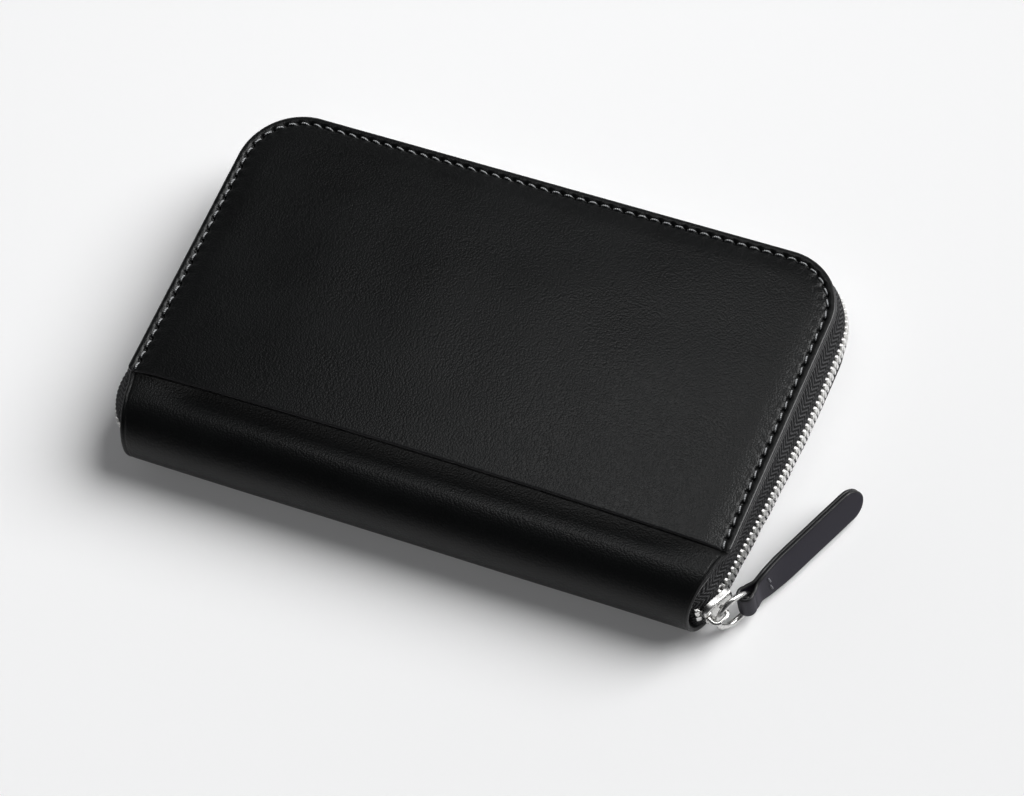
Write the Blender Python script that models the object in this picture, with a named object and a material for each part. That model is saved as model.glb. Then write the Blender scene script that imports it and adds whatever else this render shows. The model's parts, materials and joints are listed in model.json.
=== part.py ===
"""Zip-around leather passport holder with an outer slip pocket.

A leather wrap makes the bottom cover, the rounded spine and the base of the top cover. A zip runs
round the other three sides. A second leather panel, stitched on three sides, makes the outer pocket,
whose mouth faces the spine. Inside are linings, boards, sleeves and card slots.
Lengths are in millimetres and are scaled to metres when a mesh is made. The origin is the middle of
the bottom face, +Z is up, the spine is at -Y and the long zip side at +Y.
"""

import math

import bmesh
import bpy
from mathutils import Matrix, Vector

MM = 0.001
GAP = 0.3  # clearance kept between neighbouring pieces

# Overall form
HALF_LENGTH = 90.0  # leather edge on the left and right
BACK_Y = 55.0  # leather edge of the long zip side
NOSE_Y = -55.0  # foremost line of the rounded spine
MOUTH_Y = -36.9  # open edge of the outer pocket
CORNER_R = 18.0  # plan radius of the two back corners
WRAP_T = 1.4  # leather of the wrap
WRAP_H = 23.4  # outside height of the wrap, bottom face to base of the pocket
PANEL_T = 1.3  # leather of the outer pocket panel
SPINE_TAPER_LEFT = 3.0  # how far the wrap's ends draw in at the spine's nose
SPINE_TAPER_RIGHT = 6.0

SPINE_R = WRAP_H / 2.0
SPINE_Y = NOSE_Y + SPINE_R
MID_Z = WRAP_H / 2.0  # the plane in which the two tooth rows meet

# Outer pocket
POCKET_CROWN = 3.5  # rise of the panel above its stitched margin
POCKET_DISH = 1.5  # sink of the wrap under the pocket
SEAM_MARGIN = 2.4  # seam line, measured in from the leather edge
SLOPE_START = 4.0
SLOPE_RUN = 18.0
THREAD_R = 0.25

# Zip
TAPE_T = 0.6
TAPE_FLANGE = 4.5  # tape held between the leathers
TEETH_HALF_T = 0.9
TOOTH_PITCH = 1.87
ROW_GAP = 0.5  # tooth tips to the middle plane
ROOT_H = 1.4
BEAD_H = 2.2
TAPE_EDGE_H = 2.5
TAPE_TURN = 1.0  # how far inside the leather edge the tape turns down
TAPE_SHOULDER_OUT = 0.65  # share of the bulge reached at the tape's shoulder
TAPE_SHOULDER_H = 0.76  # share of the wall's height at that shoulder
TAPE_BELLY_H = 0.46  # share of the wall's height where it is fully out
TAPE_SLACK = 0.2
ZIP_END_Y = -50.8
ZIP_STRAIGHT_Y = 15.0  # the side runs are straight up to here
SLIDER_Y = -46.3
SLIDER_X = 87.0
SIDE_SLOPE = 0.1  # the side runs lean outwards by this much per unit of y
CORNER_BULGE = 1.2
BACK_BULGE = 2.8
BACK_FLAT_X = 30.0
STOP_DEPTH = 1.1  # stops, measured along the zip
STOP_H = 1.9
STOP_HALF_T = 1.1
BOTTOM_STOP_H = 1.7
BOTTOM_STOP_HALF_T = 1.4

# Slider, ring and pull
SLIDER_HALF_L = 4.7
SLIDER_NOSE_H = 3.6
SLIDER_TAIL_H = 3.1
SLIDER_CHAMFER = 1.2
SLIDER_POST_L = 2.2
SLIDER_POST_HALF_H = 0.2
PLATE_IN = 1.3
PLATE_OUT = 2.05
BAIL_HALF_W = 0.55
BAIL_IN = 5.1
BAIL_OUT = 5.8
BAIL_T0 = -4.4
BAIL_T1 = 1.0
BAIL_LEG = 0.7
RING_R = 5.6
RING_WIRE_R = 0.75
RING_YAW = math.radians(22.0)
RING_ALONG = 1.98  # ring centre along the zip from the slider's centre
RING_OUT = 5.31  # ring centre outwards from the tooth line
RING_DROP = 3.6  # ring centre below the tooth line
PULL_DROP = math.radians(4.3)
PULL_YAW = math.radians(-3.8)
PULL_L = 42.0
PULL_HALF_W = 4.5
PULL_NECK_HALF_W = 2.2
PULL_HALF_T = 1.0
PULL_EYE_R = 1.3
PULL_LOOP_R = 2.1
PULL_EYE_INSET = 0.2
PULL_FOLD_END = 6.0  # the fold's bulge has closed to the strap's thickness here
PULL_NECK_END = 3.0
PULL_SHOULDER = 7.0  # the strap has its full width from here

# Inside
BOARD_T = 0.8
LINING_T = 0.6
LINING_INSET = 3.0
BOARD_INSET = 7.0
BOARD_FROM_SPINE = 2.0
SLEEVE_T = 0.9
SLEEVE_HALF_L = 82.0
SLEEVE_BACK_Y = 40.0
PASSPORT_SLEEVE_Y = -34.0  # front edges of the sleeves
TICKET_SLEEVE_Y = -18.0
NOTE_SLEEVE_Y = -36.0
SLEEVE_NOTCH_HALF = 16.0
SLEEVE_NOTCH_DEPTH = 6.0
NOTE_NOTCH_DEPTH = 5.0
CARD_SLOTS = 4
CARD_SLOT_RIGHT = 6.0
CARD_SLOT_Y = -26.0
CARD_SLOT_STEP = 11.0
CARD_SLOT_T = 0.8
CARD_NOTCH_HALF = 10.0
CARD_NOTCH_DEPTH = 3.0

COVER_AXIS_Z = (WRAP_H + GAP + PANEL_T + POCKET_CROWN) / 2.0


def clear_scene():
    for item in list(bpy.data.objects):
        bpy.data.objects.remove(item, do_unlink=True)


def material(name, colour, roughness, metallic=0.0):
    mat = bpy.data.materials.new(name)
    mat.use_nodes = True
    shader = mat.node_tree.nodes["Principled BSDF"]
    shader.inputs["Base Color"].default_value = (*colour, 1.0)
    shader.inputs["Roughness"].default_value = roughness
    shader.inputs["Metallic"].default_value = metallic
    return mat


def smooth(t):
    t = min(1.0, max(0.0, t))
    return t * t * (3.0 - 2.0 * t)


def add_object(name, bm, mat, parent=None, matrix=None):
    """Turn a bmesh in millimetres into a named object; matrix places it, in millimetres."""
    bmesh.ops.recalc_face_normals(bm, faces=bm.faces)
    bmesh.ops.scale(bm, vec=(MM, MM, MM), verts=bm.verts)
    mesh = bpy.data.meshes.new(name)
    bm.to_mesh(mesh)
    bm.free()
    mesh.materials.append(mat)
    item = bpy.data.objects.new(name, mesh)
    bpy.context.scene.collection.objects.link(item)
    if matrix is not None:
        placed = matrix.copy()
        placed.translation = placed.translation * MM
        item.matrix_world = placed
    if parent is not None:
        world = item.matrix_world.copy()
        item.parent = parent
        item.matrix_parent_inverse = parent.matrix_world.inverted()
        item.matrix_world = world
    return item


def add_pivot(name, point):
    """An empty on a joint's axis."""
    pivot = bpy.data.objects.new(name, None)
    pivot.location = Vector(point) * MM
    bpy.context.scene.collection.objects.link(pivot)
    bpy.context.view_layer.update()
    return pivot


def frame_matrix(x_axis, y_axis, origin):
    """A right-handed frame from two unit axes and an origin."""
    z_axis = x_axis.cross(y_axis)
    matrix = Matrix((x_axis, y_axis, z_axis)).transposed().to_4x4()
    matrix.translation = origin
    return matrix


def prism_mesh(outline, low, high):
    """A closed prism: a polygon in XY, extruded along Z."""
    bm = bmesh.new()
    base = [bm.verts.new((x, y, low)) for x, y in outline]
    face = bm.faces.new(base)
    pushed = bmesh.ops.extrude_face_region(bm, geom=[face])
    for element in pushed["geom"]:
        if isinstance(element, bmesh.types.BMVert):
            element.co.z = high
    return bm


def arc(cx, cy, radius, start, end, steps):
    """Points on an arc, angles in degrees, both ends included."""
    points = []
    for i in range(steps + 1):
        angle = math.radians(start + (end - start) * i / steps)
        points.append((cx + radius * math.cos(angle), cy + radius * math.sin(angle)))
    return points


def round_back_outline(half_x, front_y, back_y, radius, steps=6):
    """A plate outline with square front corners and rounded back corners."""
    outline = [(-half_x, front_y), (half_x, front_y)]
    outline += arc(half_x - radius, back_y - radius, radius, 0.0, 90.0, steps)
    outline += arc(radius - half_x, back_y - radius, radius, 90.0, 180.0, steps)
    return outline


def loft_shell(rows):
    """A closed shell from rows of (outer points, inner points); every row has the same count."""
    bm = bmesh.new()
    outer = [[bm.verts.new(p) for p in row[0]] for row in rows]
    inner = [[bm.verts.new(p) for p in row[1]] for row in rows]
    last = len(outer[0]) - 1
    for r in range(len(rows) - 1):
        for c in range(last):
            bm.faces.new((outer[r][c], outer[r][c + 1], outer[r + 1][c + 1], outer[r + 1][c]))
            bm.faces.new((inner[r][c], inner[r + 1][c], inner[r + 1][c + 1], inner[r][c + 1]))
        bm.faces.new((outer[r][0], outer[r + 1][0], inner[r + 1][0], inner[r][0]))
        bm.faces.new((outer[r][last], inner[r][last], inner[r + 1][last], outer[r + 1][last]))
    for r in (0, len(rows) - 1):
        for c in range(last):
            bm.faces.new((outer[r][c], inner[r][c], inner[r][c + 1], outer[r][c + 1]))
    return bm


def half_width(y, inset=0.0):
    """Half the leather's length at a given y, with the back corners rounded."""
    corner_y = BACK_Y - CORNER_R
    radius = CORNER_R - inset
    if y <= corner_y:
        return HALF_LENGTH - inset
    reach = max(0.0, radius * radius - (y - corner_y) ** 2)
    return HALF_LENGTH - CORNER_R + math.sqrt(reach)


def back_rows(inset=0.0, steps=6):
    """The y values of the rows round the back corners, from the edge to the straight sides."""
    corner_y = BACK_Y - CORNER_R
    radius = CORNER_R - inset
    return [corner_y + radius * math.cos(math.radians(90.0 * i / steps)) for i in range(steps + 1)]


def edge_rise(x, y):
    """0 on the stitched margin, 1 well inside it."""
    side = smooth((half_width(y) - abs(x) - SLOPE_START) / SLOPE_RUN)
    back = smooth((BACK_Y - y - SLOPE_START) / SLOPE_RUN)
    return side * back


def row_points(y, z, columns, inset, height):
    """One row of points across the object, shifted in z by height(x, y)."""
    half = half_width(y, inset)
    points = []
    for c in range(columns + 1):
        x = half * (2.0 * c / columns - 1.0)
        points.append((x, y, z + height(x, y)))
    return points


def flat(x, y):
    return 0.0


def dish(x, y):
    return -POCKET_DISH * edge_rise(x, y) * smooth((y - SPINE_Y) / 6.0)


def crown(x, y):
    return POCKET_CROWN * edge_rise(x, y)


def wrap_rows(side, depth, thickness, columns, straight_rows, height, inset):
    """Rows of a cover with its quarter of the rounded spine.

    side is -1 for the lower cover and +1 for the upper one. depth is how far the sheet's outer face
    lies inside the wrap's outer face. straight_rows are the extra rows under the outer pocket.
    """
    out_z = MID_Z + side * (SPINE_R - depth)
    in_z = MID_Z + side * (SPINE_R - depth - thickness)
    rows = []
    ys = back_rows(inset)
    first_y = BACK_Y - CORNER_R
    for i in range(1, straight_rows + 1):
        ys.append(first_y + (MOUTH_Y - first_y) * i / straight_rows)
    ys.append(SPINE_Y)
    for y in ys:
        outer = row_points(y, out_z, columns, inset, height)
        inner = row_points(y, in_z, columns, inset, height)
        rows.append((outer, inner))
    spine_steps = 7
    last_angle = math.pi / 2.0 - (GAP / 2.0) / (SPINE_R - depth - thickness)
    for i in range(1, spine_steps + 1):
        angle = last_angle * i / spine_steps
        drawn_in = smooth(i / spine_steps)
        left = SPINE_TAPER_LEFT * drawn_in - half_width(SPINE_Y, inset)
        right = half_width(SPINE_Y, inset) - SPINE_TAPER_RIGHT * drawn_in
        pair = []
        for radius in (SPINE_R - depth, SPINE_R - depth - thickness):
            y = SPINE_Y - radius * math.sin(angle)
            z = MID_Z + side * radius * math.cos(angle)
            xs = [left + (right - left) * c / columns for c in range(columns + 1)]
            pair.append([(x, y, z) for x in xs])
        rows.append(tuple(pair))
    return rows


def make_wraps(leather, lining, board, lower, upper):
    rows = wrap_rows(-1, 0.0, WRAP_T, 1, 0, flat, 0.0)
    add_object("wrap_lower", loft_shell(rows), leather, lower)
    rows = wrap_rows(1, 0.0, WRAP_T, 16, 8, dish, 0.0)
    add_object("wrap_upper", loft_shell(rows), leather, upper)

    lining_depth = WRAP_T + GAP + TAPE_T + GAP + TAPE_SLACK
    rows = wrap_rows(-1, lining_depth, LINING_T, 1, 0, flat, LINING_INSET)
    add_object("lower_lining", loft_shell(rows), lining, lower)
    upper_depth = WRAP_T + POCKET_DISH + 2.0 * GAP + BOARD_T
    rows = wrap_rows(1, upper_depth, LINING_T, 1, 0, flat, LINING_INSET)
    add_object("upper_lining", loft_shell(rows), lining, upper)

    outline = round_back_outline(
        HALF_LENGTH - BOARD_INSET,
        SPINE_Y + BOARD_FROM_SPINE,
        BACK_Y - BOARD_INSET,
        CORNER_R - BOARD_INSET,
    )
    low = WRAP_T + GAP
    add_object("lower_board", prism_mesh(outline, low, low + BOARD_T), board, lower)
    high = WRAP_H - WRAP_T - POCKET_DISH - GAP
    add_object("upper_board", prism_mesh(outline, high - BOARD_T, high), board, upper)


def make_pocket(leather, thread, upper):
    ys = back_rows()
    first_y = BACK_Y - CORNER_R
    straight_rows = 8
    for i in range(1, straight_rows + 1):
        ys.append(first_y + (MOUTH_Y - first_y) * i / straight_rows)
    bottom_z = WRAP_H + GAP
    rows = []
    for y in ys:
        outer = row_points(y, bottom_z + PANEL_T, 18, 0.0, crown)
        inner = row_points(y, bottom_z, 18, 0.0, crown)
        rows.append((outer, inner))
    add_object("outer_pocket_panel", loft_shell(rows), leather, upper)

    line = outline_path(-SEAM_MARGIN, MOUTH_Y + 0.5, 1, 6, 1)
    bm = bmesh.new()
    z = bottom_z + PANEL_T + GAP + THREAD_R
    rings = []
    for point, normal in line:
        ring = []
        for k in range(6):
            angle = math.radians(60.0 * k)
            reach = THREAD_R * math.cos(angle)
            spot = point + normal * reach
            ring.append(bm.verts.new((spot.x, spot.y, z + THREAD_R * math.sin(angle))))
        rings.append(ring)
    skin_rings(bm, rings)
    add_object("pocket_seam_thread", bm, thread, upper)


def skin_rings(bm, rings):
    """Skin a row of rings with equal counts and cap both ends."""
    count = len(rings[0])
    for a, b in zip(rings, rings[1:]):
        for k in range(count):
            n = (k + 1) % count
            bm.faces.new((a[k], a[n], b[n], b[k]))
    bm.faces.new(rings[0])
    bm.faces.new(list(reversed(rings[-1])))


def outline_path(offset, front_y, side_steps, corner_steps, back_steps, offset_at=None):
    """Points and outward normals along the three zip sides, left front to right front.

    offset moves the line out of the leather edge; offset_at(side, value) adds a changing part, where
    side names the stretch and value is the y, corner angle or x reached on it.
    """
    corner_y = BACK_Y - CORNER_R
    corner_x = HALF_LENGTH - CORNER_R
    right = []
    for i in range(side_steps + 1):
        y = front_y + (corner_y - front_y) * i / side_steps
        right.append(("side", y, Vector((HALF_LENGTH, y, 0.0)), Vector((1.0, 0.0, 0.0))))
    for i in range(1, corner_steps + 1):
        angle = math.pi / 2.0 * i / corner_steps
        normal = Vector((math.cos(angle), math.sin(angle), 0.0))
        point = Vector((corner_x, corner_y, 0.0)) + normal * CORNER_R
        right.append(("corner", angle, point, normal))
    for i in range(1, back_steps + 1):
        x = corner_x * (1.0 - i / back_steps)
        right.append(("back", x, Vector((x, BACK_Y, 0.0)), Vector((0.0, 1.0, 0.0))))
    line = []
    for side, value, point, normal in right:
        extra = offset_at(side, value) if offset_at else 0.0
        line.append((point + normal * (offset + extra), normal))
    mirrored = [(Vector((-p.x, p.y, 0.0)), Vector((-n.x, n.y, 0.0))) for p, n in line]
    middle = mirrored if abs(line[-1][0].x) > 1e-6 else mirrored[:-1]
    return middle + list(reversed(line))


def zip_bulge(side, value):
    """How far the tooth line stands out of the leather edge."""
    end_bulge = SLIDER_X - HALF_LENGTH + SIDE_SLOPE * (ZIP_STRAIGHT_Y - SLIDER_Y)
    corner_y = BACK_Y - CORNER_R
    corner_half = CORNER_R * math.pi / 4.0
    if side == "side" and value <= ZIP_STRAIGHT_Y:
        return SLIDER_X - HALF_LENGTH + SIDE_SLOPE * (value - SLIDER_Y)
    if side == "side":
        run = corner_y + corner_half - ZIP_STRAIGHT_Y
        return end_bulge + (CORNER_BULGE - end_bulge) * smooth((value - ZIP_STRAIGHT_Y) / run)
    if side == "corner":
        travelled = CORNER_R * value
        if travelled <= corner_half:
            run = corner_y + corner_half - ZIP_STRAIGHT_Y
            done = (corner_y - ZIP_STRAIGHT_Y + travelled) / run
            return end_bulge + (CORNER_BULGE - end_bulge) * smooth(done)
        back = travelled - corner_half
    else:
        back = corner_half + HALF_LENGTH - CORNER_R - value
    run = corner_half + HALF_LENGTH - CORNER_R - BACK_FLAT_X
    return CORNER_BULGE + (BACK_BULGE - CORNER_BULGE) * smooth(back / run)


def spine_reach(y):
    """Height left between the middle plane and the inside of the wrap, at a given y."""
    inside = SPINE_R - WRAP_T - GAP
    if y >= SPINE_Y:
        return inside
    return math.sqrt(inside * inside - (y - SPINE_Y) ** 2)


def make_tape(name, side, fabric, parent):
    """One zip tape: a flange under the leather edge, then a wall that bulges out to the teeth."""
    edge_line = outline_path(0.0, ZIP_END_Y, 22, 8, 10)
    tooth_line = outline_path(0.0, ZIP_END_Y, 22, 8, 10, zip_bulge)
    bm = bmesh.new()
    rings = []
    for (edge, normal), (tooth, _) in zip(edge_line, tooth_line):
        bulge = (tooth - edge).dot(normal)
        reach = spine_reach(edge.y)
        wall = reach - TAPE_EDGE_H
        half_t = TAPE_T / 2.0
        shoulder = TAPE_SHOULDER_OUT * bulge
        shoulder_h = TAPE_EDGE_H + TAPE_SHOULDER_H * wall
        belly_h = TAPE_EDGE_H + TAPE_BELLY_H * wall
        section = [
            (-TAPE_FLANGE, reach),
            (-TAPE_TURN, reach),
            (shoulder + 0.1, shoulder_h),
            (bulge + half_t, belly_h),
            (bulge + half_t, TAPE_EDGE_H),
            (bulge - half_t, TAPE_EDGE_H),
            (bulge - half_t, belly_h - 0.03 * wall),
            (shoulder - 0.5, shoulder_h - 0.05 * wall),
            (-TAPE_TURN - 0.4, reach - TAPE_T),
            (-TAPE_FLANGE, reach - TAPE_T),
        ]
        ring = []
        for out, height in section:
            spot = edge + normal * out
            ring.append(bm.verts.new((spot.x, spot.y, MID_Z + side * height)))
        rings.append(ring)
    skin_rings(bm, rings)
    add_object(name, bm, fabric, parent)


def resample(line, step):
    """Points and normals at equal steps along a line, ends included."""
    lengths = [0.0]
    for (a, _), (b, _) in zip(line, line[1:]):
        lengths.append(lengths[-1] + (b - a).length)
    count = int(round(lengths[-1] / step))
    result = []
    k = 0
    for i in range(count + 1):
        target = lengths[-1] * i / count
        while k < len(line) - 2 and lengths[k + 1] < target:
            k += 1
        t = (target - lengths[k]) / (lengths[k + 1] - lengths[k])
        point = line[k][0].lerp(line[k + 1][0], t)
        normal = line[k][1].lerp(line[k + 1][1], t).normalized()
        result.append((point, normal))
    return result


def make_teeth(name, side, phase, metal, parent):
    """One tooth row: a bead whose free edge is cut into teeth."""
    dense = outline_path(0.0, ZIP_END_Y, 22, 8, 10, zip_bulge)
    stations = resample(dense, TOOTH_PITCH / 2.0)
    bm = bmesh.new()
    rings = []
    for i, (point, normal) in enumerate(stations):
        tip = ROW_GAP if (i + phase) % 2 == 0 else ROOT_H
        section = [
            (-TEETH_HALF_T, BEAD_H),
            (TEETH_HALF_T, BEAD_H),
            (TEETH_HALF_T, tip),
            (-TEETH_HALF_T, tip),
        ]
        ring = []
        for out, height in section:
            spot = point + normal * out
            ring.append(bm.verts.new((spot.x, spot.y, MID_Z + side * height)))
        rings.append(ring)
    skin_rings(bm, rings)
    add_object(name, bm, metal, parent)


def zip_frame(along=0.0, mirror=1.0):
    """Frame on the side run: X along the zip towards the back, Y up, Z outwards (right side)."""
    direction = Vector((SIDE_SLOPE * mirror, 1.0, 0.0)).normalized()
    start = Vector((SLIDER_X * mirror, SLIDER_Y, MID_Z))
    return frame_matrix(direction, Vector((0.0, 0.0, 1.0)), start + direction * along)


def box_outline(x0, x1, y0, y1):
    return [(x0, y0), (x1, y0), (x1, y1), (x0, y1)]


def make_stops(metal, lower, upper):
    """The closed end's two stops, right, and the joined stop at the left end."""
    end = ZIP_END_Y - SLIDER_Y - GAP
    start = end - STOP_DEPTH
    frame = zip_frame()
    stop = prism_mesh(box_outline(start, end, -STOP_H, -ROW_GAP), -STOP_HALF_T, STOP_HALF_T)
    add_object("zip_top_stop_lower", stop, metal, lower, frame)
    stop = prism_mesh(box_outline(start, end, ROW_GAP, STOP_H), -STOP_HALF_T, STOP_HALF_T)
    add_object("zip_top_stop_upper", stop, metal, upper, frame)
    joined = box_outline(start, end, -BOTTOM_STOP_H, BOTTOM_STOP_H)
    stop = prism_mesh(joined, -BOTTOM_STOP_HALF_T, BOTTOM_STOP_HALF_T)
    add_object("zip_bottom_stop", stop, metal, lower, zip_frame(mirror=-1.0))


def cut(item, tool, operation):
    """Apply a boolean and remove the tool."""
    modifier = item.modifiers.new("cut", "BOOLEAN")
    modifier.operation = operation
    modifier.solver = "EXACT"
    modifier.object = tool
    bpy.context.view_layer.update()
    graph = bpy.context.evaluated_depsgraph_get()
    done = bpy.data.meshes.new_from_object(item.evaluated_get(graph))
    item.modifiers.clear()
    item.data = done
    bpy.data.objects.remove(tool, do_unlink=True)


def make_slider(metal, pivot):
    """Two plates that hold the tooth rows between them, joined by a post at the nose."""
    frame = zip_frame()
    plate = [
        (-SLIDER_HALF_L, -SLIDER_NOSE_H + SLIDER_CHAMFER),
        (-SLIDER_HALF_L + SLIDER_CHAMFER, -SLIDER_NOSE_H),
        (0.0, -SLIDER_NOSE_H),
        (SLIDER_HALF_L, -SLIDER_TAIL_H),
        (SLIDER_HALF_L, SLIDER_TAIL_H),
        (0.0, SLIDER_NOSE_H),
        (-SLIDER_HALF_L + SLIDER_CHAMFER, SLIDER_NOSE_H),
        (-SLIDER_HALF_L, SLIDER_NOSE_H - SLIDER_CHAMFER),
    ]
    block = prism_mesh(plate, -PLATE_OUT, PLATE_OUT)
    body = add_object("slider_body", block, metal, None, frame)
    clear = 2.0 * SLIDER_HALF_L  # the cutters pass right through the block
    for low, high in ((SLIDER_POST_HALF_H, clear), (-clear, -SLIDER_POST_HALF_H)):
        slot = prism_mesh(box_outline(-clear, clear, low, high), -PLATE_IN, PLATE_IN)
        cut(body, add_object("slot", slot, metal, None, frame), "DIFFERENCE")
    post_end = SLIDER_POST_L - SLIDER_HALF_L
    behind = box_outline(post_end, clear, -5.0 * SLIDER_POST_HALF_H, 5.0 * SLIDER_POST_HALF_H)
    behind = prism_mesh(behind, -PLATE_IN, PLATE_IN)
    cut(body, add_object("behind", behind, metal, None, frame), "DIFFERENCE")
    world = body.matrix_world.copy()
    body.parent = pivot
    body.matrix_parent_inverse = pivot.matrix_world.inverted()
    body.matrix_world = world

    foot = PLATE_OUT + GAP
    side_frame = frame @ Matrix.Rotation(math.pi / 2.0, 4, "X")
    arch = [
        (BAIL_T0, foot),
        (BAIL_T0 + BAIL_LEG, foot),
        (BAIL_T0 + BAIL_LEG, BAIL_IN - 0.5),
        (BAIL_T0 + BAIL_LEG + 0.5, BAIL_IN),
        (BAIL_T1 - BAIL_LEG - 0.5, BAIL_IN),
        (BAIL_T1 - BAIL_LEG, BAIL_IN - 0.5),
        (BAIL_T1 - BAIL_LEG, foot),
        (BAIL_T1, foot),
        (BAIL_T1, BAIL_OUT - 0.9),
        (BAIL_T1 - 0.9, BAIL_OUT),
        (BAIL_T0 + 0.9, BAIL_OUT),
        (BAIL_T0, BAIL_OUT - 0.9),
    ]
    bail = prism_mesh(arch, -BAIL_HALF_W, BAIL_HALF_W)
    add_object("slider_bail", bail, metal, pivot, side_frame)


def ring_axes():
    """Centre of the pull ring, the level direction in its plane, and up."""
    frame = zip_frame()
    along = frame.col[0].to_3d()
    out = frame.col[2].to_3d()
    up = Vector((0.0, 0.0, 1.0))
    centre = frame.translation + along * RING_ALONG + out * RING_OUT - up * RING_DROP
    level = along * math.cos(RING_YAW) + out * math.sin(RING_YAW)
    return centre, level, up


def make_ring(metal, pivot):
    centre, level, up = ring_axes()
    normal = level.cross(up)
    bm = bmesh.new()
    rings = []
    major = 28
    minor = 8
    for i in range(major):
        angle = 2.0 * math.pi * (i + 0.5) / major
        radial = level * math.cos(angle) + up * math.sin(angle)
        ring = []
        for k in range(minor):
            turn = 2.0 * math.pi * k / minor
            offset = radial * (RING_WIRE_R * math.cos(turn)) + normal * (RING_WIRE_R * math.sin(turn))
            ring.append(bm.verts.new(centre + radial * RING_R + offset))
        rings.append(ring)
    for i in range(major):
        a = rings[i]
        b = rings[(i + 1) % major]
        for k in range(minor):
            n = (k + 1) % minor
            bm.faces.new((a[k], a[n], b[n], b[k]))
    item = add_object("pull_ring", bm, metal, pivot)
    item.data.shade_smooth()


def pull_frame():
    """Frame of the pull: X along it, Y across it on the hinge axis, origin in its eye."""
    centre, level, up = ring_axes()
    radial = level * math.cos(PULL_DROP) - up * math.sin(PULL_DROP)
    tangent = level * math.sin(PULL_DROP) + up * math.cos(PULL_DROP)
    eye = centre + radial * (RING_R - PULL_EYE_INSET)
    return frame_matrix(radial, tangent, eye) @ Matrix.Rotation(-PULL_YAW, 4, "Y")


def make_pull(leather, pivot):
    """A leather strip folded round the ring, its halves sewn together behind the fold."""
    frame = pull_frame()
    side = arc(0.0, 0.0, PULL_LOOP_R, 40.0, 320.0, 14)
    profile = [(PULL_L, PULL_HALF_T), (PULL_FOLD_END, PULL_HALF_T)] + side
    profile += [(PULL_FOLD_END, -PULL_HALF_T), (PULL_L, -PULL_HALF_T)]
    reach = PULL_HALF_W + 1.0
    strip = prism_mesh(profile, -reach, reach)
    side_frame = frame @ Matrix.Rotation(math.pi / 2.0, 4, "X")
    item = add_object("pull_tab", strip, leather, None, side_frame)

    eye = prism_mesh(arc(0.0, 0.0, PULL_EYE_R, 0.0, 337.5, 15), -2.0 * reach, 2.0 * reach)
    cut(item, add_object("eye", eye, leather, None, side_frame), "DIFFERENCE")

    start_x = -PULL_LOOP_R - 1.0
    neck = PULL_NECK_HALF_W
    face = [(start_x, -neck), (PULL_NECK_END, -neck), (PULL_SHOULDER, -PULL_HALF_W)]
    face += arc(PULL_L - PULL_HALF_W, 0.0, PULL_HALF_W, -90.0, 90.0, 12)
    face += [(PULL_SHOULDER, PULL_HALF_W), (PULL_NECK_END, neck), (start_x, neck)]
    keep = prism_mesh(face, -2.0 * PULL_LOOP_R, 2.0 * PULL_LOOP_R)
    cut(item, add_object("keep", keep, leather, None, frame), "INTERSECT")
    world = item.matrix_world.copy()
    item.parent = pivot
    item.matrix_parent_inverse = pivot.matrix_world.inverted()
    item.matrix_world = world


def notched_outline(x0, x1, y0, y1, notch_half, notch_depth, steps=8):
    """A rectangle whose front edge has a shallow thumb notch."""
    middle = (x0 + x1) / 2.0
    outline = [(x0, y0)]
    for i in range(steps + 1):
        t = -1.0 + 2.0 * i / steps
        outline.append((middle + notch_half * t, y0 + notch_depth * math.cos(t * math.pi / 2.0) ** 2))
    outline += [(x1, y0), (x1, y1), (x0, y1)]
    return outline


def make_sleeves(leather, lower, upper):
    """Passport and ticket sleeves in the lower half, note sleeve and card slots in the upper."""
    half = SLEEVE_HALF_L
    back_y = SLEEVE_BACK_Y
    notch = (SLEEVE_NOTCH_HALF, SLEEVE_NOTCH_DEPTH)
    base = WRAP_T + 2.0 * GAP + TAPE_T + TAPE_SLACK + LINING_T + GAP
    panel = notched_outline(-half, half, PASSPORT_SLEEVE_Y, back_y, *notch)
    add_object("passport_sleeve", prism_mesh(panel, base, base + SLEEVE_T), leather, lower)
    base += SLEEVE_T + GAP
    panel = notched_outline(-half, half, TICKET_SLEEVE_Y, back_y, *notch)
    add_object("ticket_sleeve", prism_mesh(panel, base, base + SLEEVE_T), leather, lower)

    top = WRAP_H - WRAP_T - POCKET_DISH - 2.0 * GAP - BOARD_T - LINING_T - GAP
    notch = (SLEEVE_NOTCH_HALF, NOTE_NOTCH_DEPTH)
    panel = notched_outline(-half, half, NOTE_SLEEVE_Y, back_y, *notch)
    add_object("note_sleeve", prism_mesh(panel, top - SLEEVE_T, top), leather, upper)
    top -= SLEEVE_T + GAP
    notch = (CARD_NOTCH_HALF, CARD_NOTCH_DEPTH)
    for i in range(CARD_SLOTS):
        front = CARD_SLOT_Y + CARD_SLOT_STEP * i
        panel = notched_outline(-half, CARD_SLOT_RIGHT, front, back_y, *notch)
        slot = prism_mesh(panel, top - CARD_SLOT_T, top)
        add_object("card_slot_%d" % (i + 1), slot, leather, upper)
        top -= CARD_SLOT_T + GAP


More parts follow.
